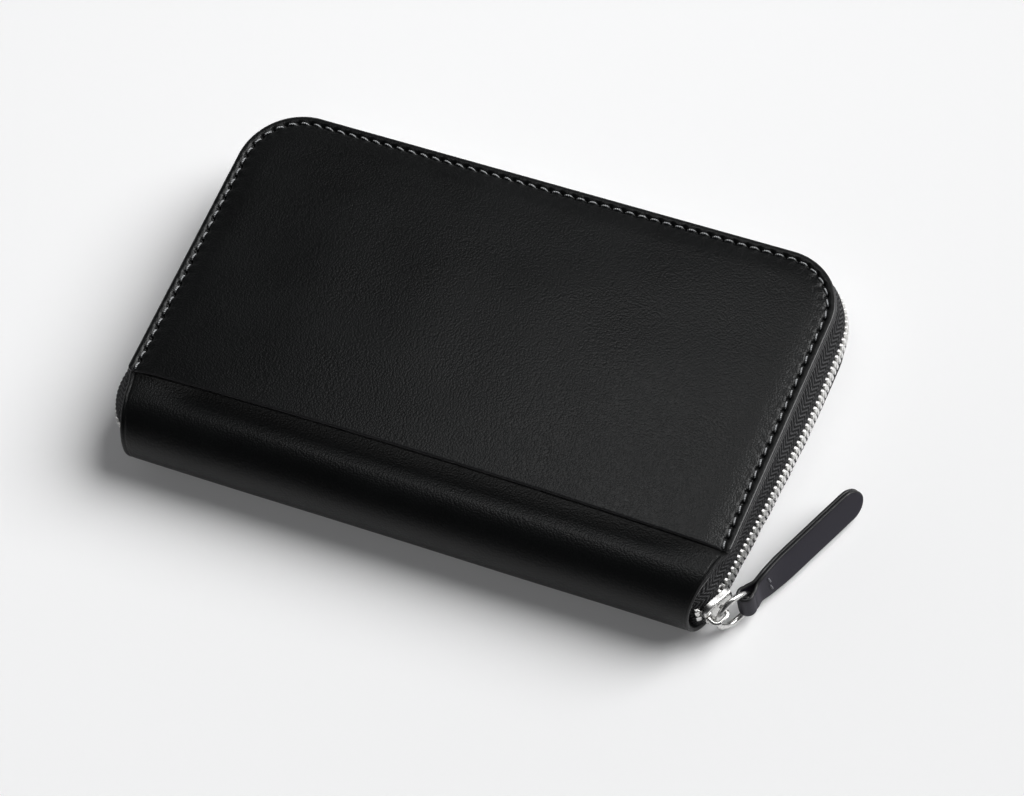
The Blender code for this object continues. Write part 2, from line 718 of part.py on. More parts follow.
def main():
    clear_scene()
    leather = material("black_leather", (0.012, 0.013, 0.014), 0.45)
    inner_leather = material("inner_leather", (0.02, 0.02, 0.022), 0.55)
    lining = material("lining_fabric", (0.035, 0.036, 0.04), 0.85)
    board = material("board", (0.25, 0.24, 0.22), 0.9)
    tape = material("zip_tape", (0.012, 0.012, 0.013), 0.8)
    metal = material("bright_nickel", (0.78, 0.77, 0.76), 0.25, 1.0)
    thread = material("grey_thread", (0.33, 0.34, 0.35), 0.6)

    lower = add_pivot("lower_half", (0.0, 0.0, 0.0))
    upper = add_pivot("upper_half", (0.0, NOSE_Y, COVER_AXIS_Z))
    slider = add_pivot("zip_slider", (SLIDER_X, SLIDER_Y, MID_Z))
    centre, _, _ = ring_axes()
    ring = add_pivot("ring_turn", centre)
    pull = add_pivot("pull_swing", pull_frame().translation)

    make_wraps(leather, lining, board, lower, upper)
    make_pocket(leather, thread, upper)
    make_tape("zip_tape_lower", -1, tape, lower)
    make_tape("zip_tape_upper", 1, tape, upper)
    make_teeth("zip_teeth_lower", -1, 0, metal, lower)
    make_teeth("zip_teeth_upper", 1, 1, metal, upper)
    make_stops(metal, lower, upper)
    make_sleeves(inner_leather, lower, upper)
    make_slider(metal, slider)
    make_ring(metal, ring)
    make_pull(leather, pull)


main()
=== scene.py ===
"""Looks of a zip-around leather passport holder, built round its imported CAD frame.

Lengths are in millimetres and are scaled to metres when a mesh is made, as in the CAD source. The
origin is the middle of the bottom face, +Z is up, the spine is at -Y and the long zip side at +Y.
"""

import json
import math

import bmesh
import bpy
import numpy as np
from mathutils import Matrix, Vector
from mathutils.geometry import delaunay_2d_cdt


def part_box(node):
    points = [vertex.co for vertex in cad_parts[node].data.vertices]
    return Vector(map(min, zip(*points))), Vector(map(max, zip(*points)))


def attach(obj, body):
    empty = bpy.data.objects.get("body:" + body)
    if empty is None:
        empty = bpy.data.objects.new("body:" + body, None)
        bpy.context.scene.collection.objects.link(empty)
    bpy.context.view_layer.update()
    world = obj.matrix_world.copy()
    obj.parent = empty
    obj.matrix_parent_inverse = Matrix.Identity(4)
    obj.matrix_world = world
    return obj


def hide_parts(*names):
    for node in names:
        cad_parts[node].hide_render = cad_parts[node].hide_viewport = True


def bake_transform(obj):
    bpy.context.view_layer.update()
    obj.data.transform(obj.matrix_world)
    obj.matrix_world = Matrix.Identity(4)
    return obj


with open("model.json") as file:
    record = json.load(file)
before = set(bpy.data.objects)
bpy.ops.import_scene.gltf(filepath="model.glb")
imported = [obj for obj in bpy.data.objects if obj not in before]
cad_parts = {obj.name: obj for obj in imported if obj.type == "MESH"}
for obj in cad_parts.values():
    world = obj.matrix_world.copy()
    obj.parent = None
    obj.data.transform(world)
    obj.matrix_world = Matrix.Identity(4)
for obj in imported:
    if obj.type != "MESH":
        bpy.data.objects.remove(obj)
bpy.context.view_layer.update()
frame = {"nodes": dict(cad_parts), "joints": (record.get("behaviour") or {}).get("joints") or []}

MM = 0.001
UP = np.array((0.0, 0.0, 1.0))


def cad_box(node):
    """Low and high corner of a CAD node, in millimetres."""
    low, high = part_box(node)
    return low / MM, high / MM


# Overall form, read from the frame
HALF_LENGTH, BACK_Y, WRAP_H = cad_box("wrap_upper")[1]
NOSE_Y = cad_box("wrap_lower")[0].y
MOUTH_Y = cad_box("outer_pocket_panel")[0].y
MID_Z = WRAP_H / 2.0
SPINE_R = WRAP_H / 2.0
SPINE_Y = NOSE_Y + SPINE_R

# Leather sheets, as in the CAD source
CORNER_R = 18.0
WRAP_T = 1.4
PANEL_T = 1.3
GAP = 0.3
POCKET_DISH = 1.5
SEAM_MARGIN = 2.4
SLOPE_START = 4.0
SLOPE_RUN = 18.0
PANEL_TOP = WRAP_H + GAP + PANEL_T
CORNER_X = HALF_LENGTH - CORNER_R
CORNER_Y = BACK_Y - CORNER_R
LINING_INSET = 3.0
LINING_T = 0.6

# Zip, slider, ring and pull, as in the CAD source
TAPE_T = 0.6
TAPE_EDGE_H = 2.5
TOOTH_PITCH = 1.87
SLIDER_Y = -46.3
SLIDER_X = 87.0
SIDE_SLOPE = 0.1
CORNER_BULGE = 1.2
BACK_BULGE = 2.8
BACK_FLAT_X = 30.0
PLATE_IN = 1.3
BAIL_T0 = -4.4
BAIL_T1 = 1.0
BAIL_IN = 5.1
BAIL_OUT = 5.8
RING_R = 5.6
RING_WIRE_R = 0.83
PULL_L = 42.0

# Stitches, and the filled pocket's surface: dome, puff inside its seam, groove, holes and tug
STITCH_PITCH = 3.7
SLEEVE_SEAM = 2.2
SLEEVE_PITCH = 3.0
PANEL_DOME = 3.0
POCKET_PUFF = 0.45
PUFF_RUN = 6.2
GROOVE_DEPTH = 0.26
GROOVE_WIDTH = 0.6
HOLE_DEPTH = 0.85
HOLE_SIZE = 0.55
TUG_DEPTH = 0.13

# The wrap's pressed crease, and the groove and lifted margin of the seam on its underside
CREASE_DEPTH = 0.16
CREASE_INSET = 1.5
CREASE_WIDTH = 0.28
UNDER_GROOVE = 0.45
MARGIN_LIFT = 0.3

# Woven tape, and the number of stations along each part of half the zip
RIB_ALONG = 1.45
RIB_COLUMN = 2.3
YARN = 0.72
RIB_RELIEF = 0.3
FRONT_STEPS = 90
CORNER_STEPS = 40
BACK_STEPS = 90
END_TEETH = 4

# How far the leather's ends stop short: on the cover at the spine, and at the spine's nose
SHORT_LEFT = (2.0, 4.3)
SHORT_LOWER_RIGHT = (4.2, 6.3)
SHORT_UPPER_RIGHT = (2.7, 6.3)
# Where along Y, and over what run, that shortness fades out on each cover
UPPER_FADE = (-33.0, 10.3)
LOWER_FADE_LEFT = (SPINE_Y, 40.0)
LOWER_FADE_RIGHT = (-50.0, 78.0)

# Camera and studio, in metres
CAMERA_AT = (0.39357, -0.49403, 1.02522)
CAMERA_RIGHT = (0.90733, 0.39136, -0.15360)
CAMERA_BACK = (0.32171, -0.41109, 0.85294)
CAMERA_LENS = 152.74
LIGHT_FROM = (0.55, 0.47, 0.69)
LIGHT_SPREAD = 46.0
LIGHT_POWER = 3.76
SOFTBOX_AT = (-0.065, 0.172, 0.52)
SOFTBOX_AIM = (0.09, -0.04, 0.025)
SOFTBOX_SIZE = 0.16
SOFTBOX_POWER = 0.52
FLOOR_TONE = (0.86, 0.86, 0.862)
DIM_OVERHEAD = (0.05, 0.051, 0.054)
PALE_BAND = (0.95, 0.95, 0.96)
PALE_SIDE = (-0.6, 0.8, 0.0)


# ---------------------------------------------------------------- small helpers


def smooth(t):
    """Eased step from 0 to 1."""
    t = np.clip(t, 0.0, 1.0)
    return t * t * (3.0 - 2.0 * t)


def bell(t):
    """Smooth bump of height 1 and half width about 1."""
    return np.exp(-t * t)


def unit(v):
    length = np.linalg.norm(v, axis=-1, keepdims=True)
    return v / np.maximum(length, 1e-9)


def arc(x, y, radius, start, end, steps):
    """Points round an arc between two angles in degrees."""
    angles = [math.radians(start + (end - start) * i / steps) for i in range(steps + 1)]
    return [(x + radius * math.cos(angle), y + radius * math.sin(angle)) for angle in angles]


def filling(x0, x1, y0, y1, step):
    """Points of an even grid over a rectangle."""
    across = max(1, int((x1 - x0) / step))
    deep = max(1, int((y1 - y0) / step))
    for i in range(across + 1):
        for j in range(deep + 1):
            yield x0 + (x1 - x0) * i / across, y0 + (y1 - y0) * j / deep


def level_directions(ahead):
    """The level directions along a line in plan and out of it."""
    return np.array((ahead[0], ahead[1], 0.0)), np.array((-ahead[1], ahead[0], 0.0))


def carry(verts, origin, along, up, out):
    """Carries points (along, up, out) to a place and its three directions."""
    verts = np.asarray(verts, float)
    return origin + verts[:, :1] * along + verts[:, 1:2] * up + verts[:, 2:] * out


def lengths_along(points):
    """Length along a path up to each of its points."""
    steps = np.linalg.norm(np.diff(points, axis=-2), axis=-1)
    return np.concatenate([np.zeros_like(steps[..., :1]), np.cumsum(steps, axis=-1)], axis=-1)


def on_grid(x, y, z):
    """Points of a grid from three arrays or numbers that spread over it."""
    return np.stack(np.broadcast_arrays(x, y, z), axis=-1)


def seam_position(x, y):
    """Length along the pocket's edge from the mouth, and distance in from the edge."""
    ax = np.abs(x)
    side_depth = HALF_LENGTH - ax
    back_depth = BACK_Y - y
    dx = ax - CORNER_X
    dy = y - CORNER_Y
    turn = (CORNER_R - SEAM_MARGIN) * math.pi / 2.0
    side_run = CORNER_Y - MOUTH_Y
    angle = np.arctan2(np.maximum(dy, 0.0), np.maximum(dx, 1e-6))
    in_corner = (dx > 0.0) & (dy > 0.0)
    on_side = ~in_corner & ((dy <= 0.0) & ((dx > 0.0) | (side_depth < back_depth)))
    along_corner = side_run + (CORNER_R - SEAM_MARGIN) * angle
    along = np.where(in_corner, along_corner, side_run + turn + CORNER_X - ax)
    depth = np.where(in_corner, CORNER_R - np.hypot(dx, dy), back_depth)
    along = np.where(on_side, y - MOUTH_Y, along)
    depth = np.where(on_side, side_depth, depth)
    return along, depth


def edge_rise(x, y):
    """0 on the stitched margin, 1 well inside it."""
    _, depth = seam_position(x, y)
    side = smooth((HALF_LENGTH - np.abs(x) - SLOPE_START) / SLOPE_RUN)
    back = smooth((BACK_Y - y - SLOPE_START) / SLOPE_RUN)
    inside = smooth((depth - 0.5 * SLOPE_START) / SLOPE_START)
    return side * back * inside


def draw_in(right, upper, y, on_spine=None):
    """How far an end of the leather stops short of the full length, for a row of the wrap.

    right and upper pick the end and the half. On the spine, on_spine is the sine of the angle
    from the cover to the nose.
    """
    near, nose = (SHORT_UPPER_RIGHT if upper else SHORT_LOWER_RIGHT) if right else SHORT_LEFT
    if on_spine is None and y < SPINE_Y:
        on_spine = min(1.0, (SPINE_Y - y) / SPINE_R)
    if on_spine is not None:
        return near + (nose - near) * on_spine
    if upper:
        full_y, run = UPPER_FADE
        return near * float(smooth((full_y - y) / run))
    start, run = LOWER_FADE_RIGHT if right else LOWER_FADE_LEFT
    return near * (1.0 - float(smooth((y - start) / run)))


def panel_dome(x, y):
    """Rise of the filled pocket, highest at its mouth."""
    across = np.clip(np.abs(x) / 88.0, 0.0, 1.0) ** 2.2
    deep = np.clip((y - MOUTH_Y) / 90.0, 0.0, 1.0) ** 2.4
    return PANEL_DOME * (1.0 - across) * (1.0 - deep)


def undulation(x, y, size, seed):
    """Soft uneven swell of hand-cut leather, about -1 to 1."""
    rng = np.random.default_rng(seed)
    total = np.zeros_like(np.asarray(x, float))
    for _ in range(7):
        angle = rng.uniform(0.0, math.pi)
        wave = 2.0 * math.pi / (size * rng.uniform(0.7, 1.9))
        phase = rng.uniform(0.0, 2.0 * math.pi)
        total = total + np.sin(wave * (x * math.cos(angle) + y * math.sin(angle)) + phase)
    return total / 4.0


# ---------------------------------------------------------------- meshes


def add_object(name, data):
    item = bpy.data.objects.new(name, data)
    bpy.context.scene.collection.objects.link(item)
    return item


def make_object(name, verts, faces, materials, marks=None, rest=None):
    """A mesh object from points in millimetres.

    marks gives each face's material number. rest is the flattened position that the material's
    pattern uses, so that it doesn't slide when the piece bends.
    """
    verts = np.asarray(verts, float)
    mesh = bpy.data.meshes.new(name)
    mesh.from_pydata((verts * MM).tolist(), [], faces)
    for mat in materials:
        mesh.materials.append(mat)
    if marks is not None:
        mesh.polygons.foreach_set("material_index", np.asarray(marks, np.int32))
    mesh.polygons.foreach_set("use_smooth", np.full(len(mesh.polygons), True))
    rest = verts if rest is None else np.asarray(rest, float)
    layer = mesh.attributes.new("rest", "FLOAT_VECTOR", "POINT")
    layer.data.foreach_set("vector", rest.astype(np.float32).ravel())
    mesh.validate()
    bm = bmesh.new()
    bm.from_mesh(mesh)
    bmesh.ops.recalc_face_normals(bm, faces=bm.faces)
    bm.to_mesh(mesh)
    bm.free()
    mesh.update()
    return add_object(name, mesh)


def sharpen(item, angle):
    """Keeps edges crisp where faces meet at more than this angle, in degrees."""
    item.data.set_sharp_from_angle(angle=math.radians(angle))


def place(item, body, nodes=()):
    """Rides on a body and hides the CAD nodes the piece stands for."""
    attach(item, body)
    if nodes:
        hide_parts(*nodes)
    return item


def ring_faces(rings, count, closed_path=False):
    """Quads between rings of equal counts, ring i from vertex i * count, and the two end faces."""
    ids = np.arange(rings * count).reshape(rings, count)
    ahead = np.roll(ids, -1, axis=0)
    beside = (np.roll(row, -1, axis=1) for row in (ids, ahead))
    quads = np.stack((ids, *beside, ahead), axis=-1)
    if closed_path:
        return quads.reshape(-1, 4).tolist()
    return quads[:-1].reshape(-1, 4).tolist() + [ids[0].tolist(), ids[-1, ::-1].tolist()]


def grid_normals(grid):
    """A grid's unit normals at its points."""
    down = np.gradient(grid, axis=0)
    across = np.gradient(grid, axis=1)
    return unit(np.cross(across, down))


def grid_rim(ids):
    """The numbers round the border of a grid of point numbers."""
    return np.concatenate([ids[0], ids[1:, -1], ids[-1, -2::-1], ids[-2:0:-1, 0]])


def close_border(top, low, ids, count, out, border):
    """Points and faces of the rounded border between two facing rims.

    ids are the top rim's points; the low rim's are count further on. border is how far the border
    stands out, its steps through the thickness, and a power below 1 for a squarer edge.
    """
    edge_r, steps, squareness = border
    middle, half = (top + low) / 2.0, (top - low) / 2.0
    rings, faces = [], []
    previous = ids
    for k in range(1, steps + 1):
        if k == steps:
            current = ids + count
        else:
            angle = math.pi / 2.0 - math.pi * k / steps
            bulge = edge_r * max(0.0, math.cos(angle)) ** squareness
            rings.append(middle + out * bulge + half * math.sin(angle))
            current = 2 * count + (k - 1) * len(ids) + np.arange(len(ids))
        ring = (previous, np.roll(previous, -1), np.roll(current, -1), current)
        faces += np.column_stack(ring).tolist()
        previous = current
    return rings, faces


def shell_from_grid(outer, inner, sign, border):
    """Closes two facing grids with a rounded border, turned outwards by sign.

    Returns points, faces and marks: 0 on the outer grid, 1 on the border and 2 on the inner grid.
    """
    count = outer[..., 0].size
    ids = np.arange(count).reshape(outer.shape[:2])
    cells = np.stack((ids[:-1, :-1], ids[:-1, 1:], ids[1:, 1:], ids[1:, :-1]), axis=-1)
    cells = cells.reshape(-1, 4)
    rim = grid_rim(ids)
    outer, inner = outer.reshape(-1, 3), inner.reshape(-1, 3)
    top, low = outer[rim], inner[rim]
    middle = (top + low) / 2.0
    tangent = np.roll(middle, -1, axis=0) - np.roll(middle, 1, axis=0)
    out = sign * unit(np.cross(tangent, (top - low) / 2.0))
    rings, border_faces = close_border(top, low, rim, count, out, border)
    faces = cells.tolist() + (count + cells[:, (0, 3, 2, 1)]).tolist() + border_faces
    marks = [0] * len(cells) + [2] * len(cells) + [1] * len(border_faces)
    return np.concatenate([outer, inner, *rings]), faces, marks


def rounded_rect(x0, x1, y0, y1, radii, inset, spacing):
    """Points round a rectangle drawn in by inset.

    radii are for the corners (x1, y0), (x1, y1), (x0, y1) and (x0, y0).
    """
    x0, x1, y0, y1 = x0 + inset, x1 - inset, y0 + inset, y1 - inset
    corners = []
    for (cx, cy, start), radius in zip(
        ((x1, y0, -90.0), (x1, y1, 0.0), (x0, y1, 90.0), (x0, y0, 180.0)), radii
    ):
        radius = max(radius - inset, 0.15)
        cx += -radius if cx == x1 else radius
        cy += -radius if cy == y1 else radius
        steps = max(2, int(round(radius * math.pi / 2.0 / spacing)))
        corners.append(arc(cx, cy, radius, start, start + 90.0, steps))
    points = []
    for i, corner in enumerate(corners):
        points += corner
        a, b = corner[-1], corners[(i + 1) % 4][0]
        steps = max(1, int(round(math.dist(a, b) / spacing)))
        for k in range(1, steps):
            t = k / steps
            points.append((a[0] + (b[0] - a[0]) * t, a[1] + (b[1] - a[1]) * t))
    return points


def seam_insets(start, stop, seam, step, growth):
    """Distances in from an edge, closest together at the seam."""
    inset = start
    while inset < stop:
        yield inset
        inset += step + growth * (inset - seam) ** 2


def shell_rest(verts, *grids):
    """Pattern positions of a shell: its two grids' own, and the border's as it stands."""
    flat = np.concatenate([grid.reshape(-1, 3) for grid in grids])
    return np.concatenate([flat, verts[len(flat):]])


def panel_from_outline(outline, inner_points, top, bottom, border):
    """A sheet with a rounded border over a counterclockwise outline in XY.

    top and bottom give the height of its two faces at (x, y). Returns points, faces and marks: 0 on
    the top, 1 on the border and 2 underneath.
    """
    points = [Vector(p) for p in outline] + [Vector(p) for p in inner_points]
    edge_count = len(outline)
    found = delaunay_2d_cdt(points, [], [list(range(edge_count))], 1, 1e-5)
    triangles = [tuple(f) for f in found[2]]
    place_of = {old: new for new, originals in enumerate(found[3]) for old in originals}
    ids = np.array([place_of[i] for i in range(edge_count)])
    x, y = np.array([(v.x, v.y) for v in found[0]]).T
    count = len(x)
    high = np.column_stack([x, y, top(x, y)])
    low = np.column_stack([x, y, bottom(x, y)])
    faces = triangles + [tuple(count + i for i in reversed(f)) for f in triangles]
    rim = np.array(outline)
    tangent = np.roll(rim, -1, axis=0) - np.roll(rim, 1, axis=0)
    out = unit(np.column_stack([tangent[:, 1], -tangent[:, 0], np.zeros(edge_count)]))
    rings, border_faces = close_border(high[ids], low[ids], ids, count, out, border)
    marks = [0] * len(triangles) + [2] * len(triangles) + [1] * len(border_faces)
    return np.concatenate([high, low, *rings]), faces + border_faces, marks


def tube_along(path, radius, sides, ups, flatten=1.0):
    """Points and faces of a tube along a path; radius may change from point to point."""
    path = np.asarray(path, float)
    tangent = unit(np.gradient(path, axis=0))
    ups = np.broadcast_to(np.asarray(ups, float), path.shape)
    side = unit(np.cross(tangent, ups))
    up = np.cross(side, tangent)
    radius = np.broadcast_to(np.asarray(radius, float), (len(path),))
    turn = 2.0 * math.pi * np.arange(sides)[:, None] / sides
    offset = side[:, None] * np.cos(turn) + up[:, None] * (flatten * np.sin(turn))
    verts = path[:, None] + offset * radius[:, None, None]
    return verts.reshape(-1, 3), ring_faces(len(path), sides)


class Merger:
    """Gathers the points and faces of many small shapes for one mesh."""

    def __init__(self):
        self.verts = []
        self.faces = []
        self.rest = []
        self.count = 0

    def add(self, verts, faces, rest=None):
        verts = np.asarray(verts, float)
        self.verts.append(verts)
        self.rest.append(verts if rest is None else np.asarray(rest, float))
        self.faces += [tuple(i + self.count for i in face) for face in faces]
        self.count += len(verts)

    def make(self, name, materials):
        verts = np.concatenate(self.verts)
        rest = np.concatenate(self.rest)
        return make_object(name, verts, self.faces, materials, rest=rest)


# ---------------------------------------------------------------- materials


class Wiring:
    """Short ways to add and join the nodes of one tree."""

    def __init__(self, tree):
        self.tree = tree

    def node(self, kind, settings=(), **inputs):
        node = self.tree.nodes.new(kind)
        for key, value in dict(settings).items():
            setattr(node, key, value)
        for key, value in inputs.items():
            self.feed(node.inputs[key.replace("_", " ")], value)
        return node

    def feed(self, socket, value):
        if isinstance(value, bpy.types.NodeSocket):
            self.tree.links.new(value, socket)
        else:
            socket.default_value = value

    def math(self, operation, a, b=0.0):
        node = self.node("ShaderNodeMath", {"operation": operation})
        self.feed(node.inputs[0], a)
        self.feed(node.inputs[1], b)
        return node.outputs[0]

    def vector(self, operation, a, b):
        node = self.node("ShaderNodeVectorMath", {"operation": operation})
        self.feed(node.inputs[0], a)
        self.feed(node.inputs["Scale" if operation == "SCALE" else 1], b)
        return node.outputs["Value" if operation == "DOT_PRODUCT" else "Vector"]

    def noise(self, where, scale, detail, rough, warp=0.0):
        node = self.node(
            "ShaderNodeTexNoise", Vector=where, Scale=scale, Detail=detail, Roughness=rough
        )
        node.inputs["Distortion"].default_value = warp
        return node.outputs["Fac"]

    def mixed(self, *parts):
        """Sum of (value, weight) pairs."""
        total = None
        for value, weight in parts:
            part = value if weight == 1.0 else self.math("MULTIPLY", value, weight)
            total = part if total is None else self.math("ADD", total, part)
        return total

    def cells(self, where, scale, feature="F1"):
        node = self.node("ShaderNodeTexVoronoi", {"feature": feature}, Vector=where, Scale=scale)
        return node.outputs["Distance"]

    def remap(self, value, low, high, to_low, to_high, kind="LINEAR"):
        node = self.node("ShaderNodeMapRange", {"interpolation_type": kind})
        for socket, number in zip(node.inputs[:5], (value, low, high, to_low, to_high)):
            self.feed(socket, number)
        return node.outputs[0]

    def mix(self, factor, a, b):
        node = self.node("ShaderNodeMix", {"data_type": "RGBA"})
        self.feed(node.inputs[0], factor)
        for socket, colour in zip(node.inputs[6:8], (a, b)):
            if isinstance(colour, bpy.types.NodeSocket):
                self.tree.links.new(colour, socket)
            else:
                socket.default_value = (*colour, 1.0)
        return node.outputs[2]


class Look(Wiring):
    """A Principled material."""

    def __init__(self, name, colour, roughness, metallic=0.0):
        self.mat = bpy.data.materials.new(name)
        self.mat.use_nodes = True
        super().__init__(self.mat.node_tree)
        self.shader = self.tree.nodes["Principled BSDF"]
        self.set("Base Color", (*colour, 1.0))
        self.set("Roughness", roughness)
        self.set("Metallic", metallic)
        self.mat.diffuse_color = (*colour, 1.0)

    def set(self, socket, value):
        self.shader.inputs[socket].default_value = value

    def rest(self):
        node = self.node("ShaderNodeAttribute", {"attribute_name": "rest"})
        return node.outputs["Vector"]

    def object_mm(self):
        coords = self.node("ShaderNodeTexCoord").outputs["Object"]
        return self.vector("SCALE", coords, 1.0 / MM)

    def colour(self, socket):
        self.tree.links.new(socket, self.shader.inputs["Base Color"])

    def rough(self, socket):
        self.tree.links.new(socket, self.shader.inputs["Roughness"])

    def relief(self, height, depth):
        """Bump of the given depth in millimetres."""
        node = self.node("ShaderNodeBump", Strength=1.0, Distance=depth * MM, Height=height)
        self.tree.links.new(node.outputs["Normal"], self.shader.inputs["Normal"])


def leather_look(name, dark, light, roughness, grain, relief):
    """Drum-dyed leather: fine pebbles parted by creases, pores, and faint cloudy wear."""
    look = Look(name, dark, roughness)
    where = look.rest()
    drift = look.node("ShaderNodeTexNoise", Vector=where, Scale=0.5, Detail=2.0)
    bent = look.vector("ADD", where, look.vector("SCALE", drift.outputs["Color"], 0.5))
    pebbles = look.cells(bent, 1.35 / grain, "SMOOTH_F1")
    creases = look.cells(bent, 1.35 / grain, "DISTANCE_TO_EDGE")
    crease = look.remap(creases, 0.0, 0.2, 0.0, 1.0)
    pores = look.noise(where, 3.2 / grain, 4.0, 0.62)
    cloud = look.noise(where, 0.035, 3.0, 0.55)
    dome = look.math("SUBTRACT", 1.0, pebbles)
    height = look.mixed((dome, 0.8), (crease, 0.16), (pores, 0.16))
    look.relief(height, relief)
    # Painted shade and highlight: the colour follows the bump's height, darker in the creases
    # between the pebbles and lighter on their tops; the cloud adds a random tone
    tone = look.remap(look.mixed((cloud, 0.8), (height, 0.25)), 0.35, 0.85, 0.0, 1.0)
    look.colour(look.mix(tone, dark, light))
    shine = look.mixed((pores, 0.6), (cloud, 0.5))
    look.rough(look.remap(shine, 0.3, 0.8, roughness - 0.07, roughness + 0.08))
    return look


def edge_paint_look():
    """Several burnished coats of black edge paint, slightly wavy."""
    look = Look("edge_paint", (0.012, 0.012, 0.013), 0.34)
    where = look.rest()
    waves = look.noise(where, 0.5, 3.0, 0.6)
    fine = look.noise(where, 5.0, 2.0, 0.5)
    look.relief(look.mixed((waves, 1.0), (fine, 0.15)), 0.12)
    look.colour(look.mix(waves, (0.009, 0.009, 0.010), (0.02, 0.02, 0.021)))
    look.rough(look.remap(fine, 0.3, 0.7, 0.28, 0.42))
    return look


def suede_look():
    """Flesh side of the leather: matt, fibrous."""
    look = Look("leather_back", (0.03, 0.03, 0.032), 0.9)
    where = look.rest()
    fibres = look.noise(where, 4.0, 6.0, 0.75, 0.8)
    patches = look.noise(where, 0.25, 3.0, 0.5)
    look.colour(look.mix(patches, (0.018, 0.018, 0.019), (0.045, 0.045, 0.047)))
    look.relief(fibres, 0.12)
    look.rough(look.remap(fibres, 0.3, 0.7, 0.8, 0.97))
    return look


def thread_look(name, dark, light):
    """Waxed bonded thread with its twist; rest.x runs along the thread."""
    look = Look(name, light, 0.55)
    parts = look.node("ShaderNodeSeparateXYZ", Vector=look.rest())
    twist = look.mixed((parts.outputs["X"], 12.0), (parts.outputs["Y"], 1.0))
    wave = look.math("SINE", twist)
    # Painted shade: the colour follows the twist's bump wave and is darker in its grooves; the
    # patches add a random tone
    tone = look.remap(wave, -1.0, 0.6, 0.0, 1.0)
    patch = look.noise(look.rest(), 1.3, 3.0, 0.6)
    look.colour(look.mix(look.math("MULTIPLY", tone, patch), dark, light))
    look.relief(wave, 0.05)
    look.set("Sheen Weight", 0.2)
    look.set("Sheen Roughness", 0.4)
    return look


def tape_look():
    """Herringbone zip tape; rest.x runs along the tape and rest.y across it."""
    look = Look("herringbone_tape", (0.03, 0.03, 0.033), 0.7)
    where = look.rest()
    parts = look.node("ShaderNodeSeparateXYZ", Vector=where)
    along, across = parts.outputs["X"], parts.outputs["Y"]
    zigzag = look.math("PINGPONG", look.math("SUBTRACT", across, RIB_COLUMN), RIB_COLUMN)
    phase = look.math("DIVIDE", look.math("ADD", along, zigzag), RIB_ALONG)
    ribs = look.math("COSINE", look.math("MULTIPLY", phase, 2.0 * math.pi))
    yarn = look.math("COSINE", look.math("MULTIPLY", across, 2.0 * math.pi / YARN))
    yarn2 = look.math("COSINE", look.math("MULTIPLY", phase, math.pi))
    weave = look.math("MULTIPLY", yarn, look.mixed((yarn2, 0.4), (0.6, 1.0)))
    fuzz = look.noise(where, 6.0, 3.0, 0.7)
    height = look.mixed((ribs, 0.5), (weave, 0.4), (fuzz, 0.5))
    look.relief(height, 0.13)
    # Painted highlight and shade: the colour follows the bump's height, lighter on the rib tops and
    # near black in the grooves between the ribs; the fuzz adds a random tone
    tone = look.math("POWER", look.remap(height, -0.5, 1.2, 0.0, 1.0), 1.6)
    look.colour(look.mix(tone, (0.0012, 0.0012, 0.0015), (0.12, 0.12, 0.124)))
    look.set("Specular IOR Level", 0.25)
    return look


def lining_look():
    """Fine twill lining."""
    look = Look("twill_lining", (0.035, 0.036, 0.04), 0.8)
    where = look.rest()
    parts = look.node("ShaderNodeSeparateXYZ", Vector=where)
    slant = look.math("ADD", parts.outputs["X"], parts.outputs["Y"])
    wale = look.math("SINE", look.math("MULTIPLY", slant, 2.0 * math.pi / 0.55))
    pick = look.math("SINE", look.math("MULTIPLY", parts.outputs["Y"], 2.0 * math.pi / 0.4))
    slub = look.noise(where, 0.6, 4.0, 0.7)
    height = look.mixed((wale, 0.6), (pick, 0.25), (slub, 1.0))
    look.relief(height, 0.06)
    # Painted highlight and shade: the colour follows the bump's height, lighter on the twill's
    # ridges and darker in its grooves; the slubs add a random tone
    tone = look.remap(height, -0.4, 1.4, 0.0, 1.0)
    look.colour(look.mix(tone, (0.016, 0.017, 0.02), (0.06, 0.062, 0.068)))
    look.set("Sheen Weight", 0.3)
    look.set("Sheen Roughness", 0.5)
    return look


def board_look():
    """Pressed fibre board."""
    look = Look("fibre_board", (0.25, 0.23, 0.2), 0.9)
    where = look.object_mm()
    fibres = look.noise(where, 1.2, 6.0, 0.7, 1.0)
    flecks = look.cells(where, 0.7)
    look.colour(look.mix(fibres, (0.16, 0.145, 0.125), (0.34, 0.32, 0.28)))
    look.relief(look.math("ADD", fibres, flecks), 0.08)
    return look


def nickel_look(name, dull, bright, low, high):
    """Polished nickel with fine rub marks and a slightly uneven polish."""
    look = Look(name, bright, (low + high) / 2.0, 1.0)
    where = look.object_mm()
    polish = look.noise(where, 0.7, 4.0, 0.6)
    squeeze = look.vector("MULTIPLY", where, (1.0, 1.0, 9.0))
    rubs = look.noise(squeeze, 1.6, 5.0, 0.7)
    look.rough(look.remap(look.math("ADD", polish, rubs), 0.7, 1.3, low, high))
    look.relief(rubs, 0.004)
    look.colour(look.mix(polish, dull, bright))
    return look


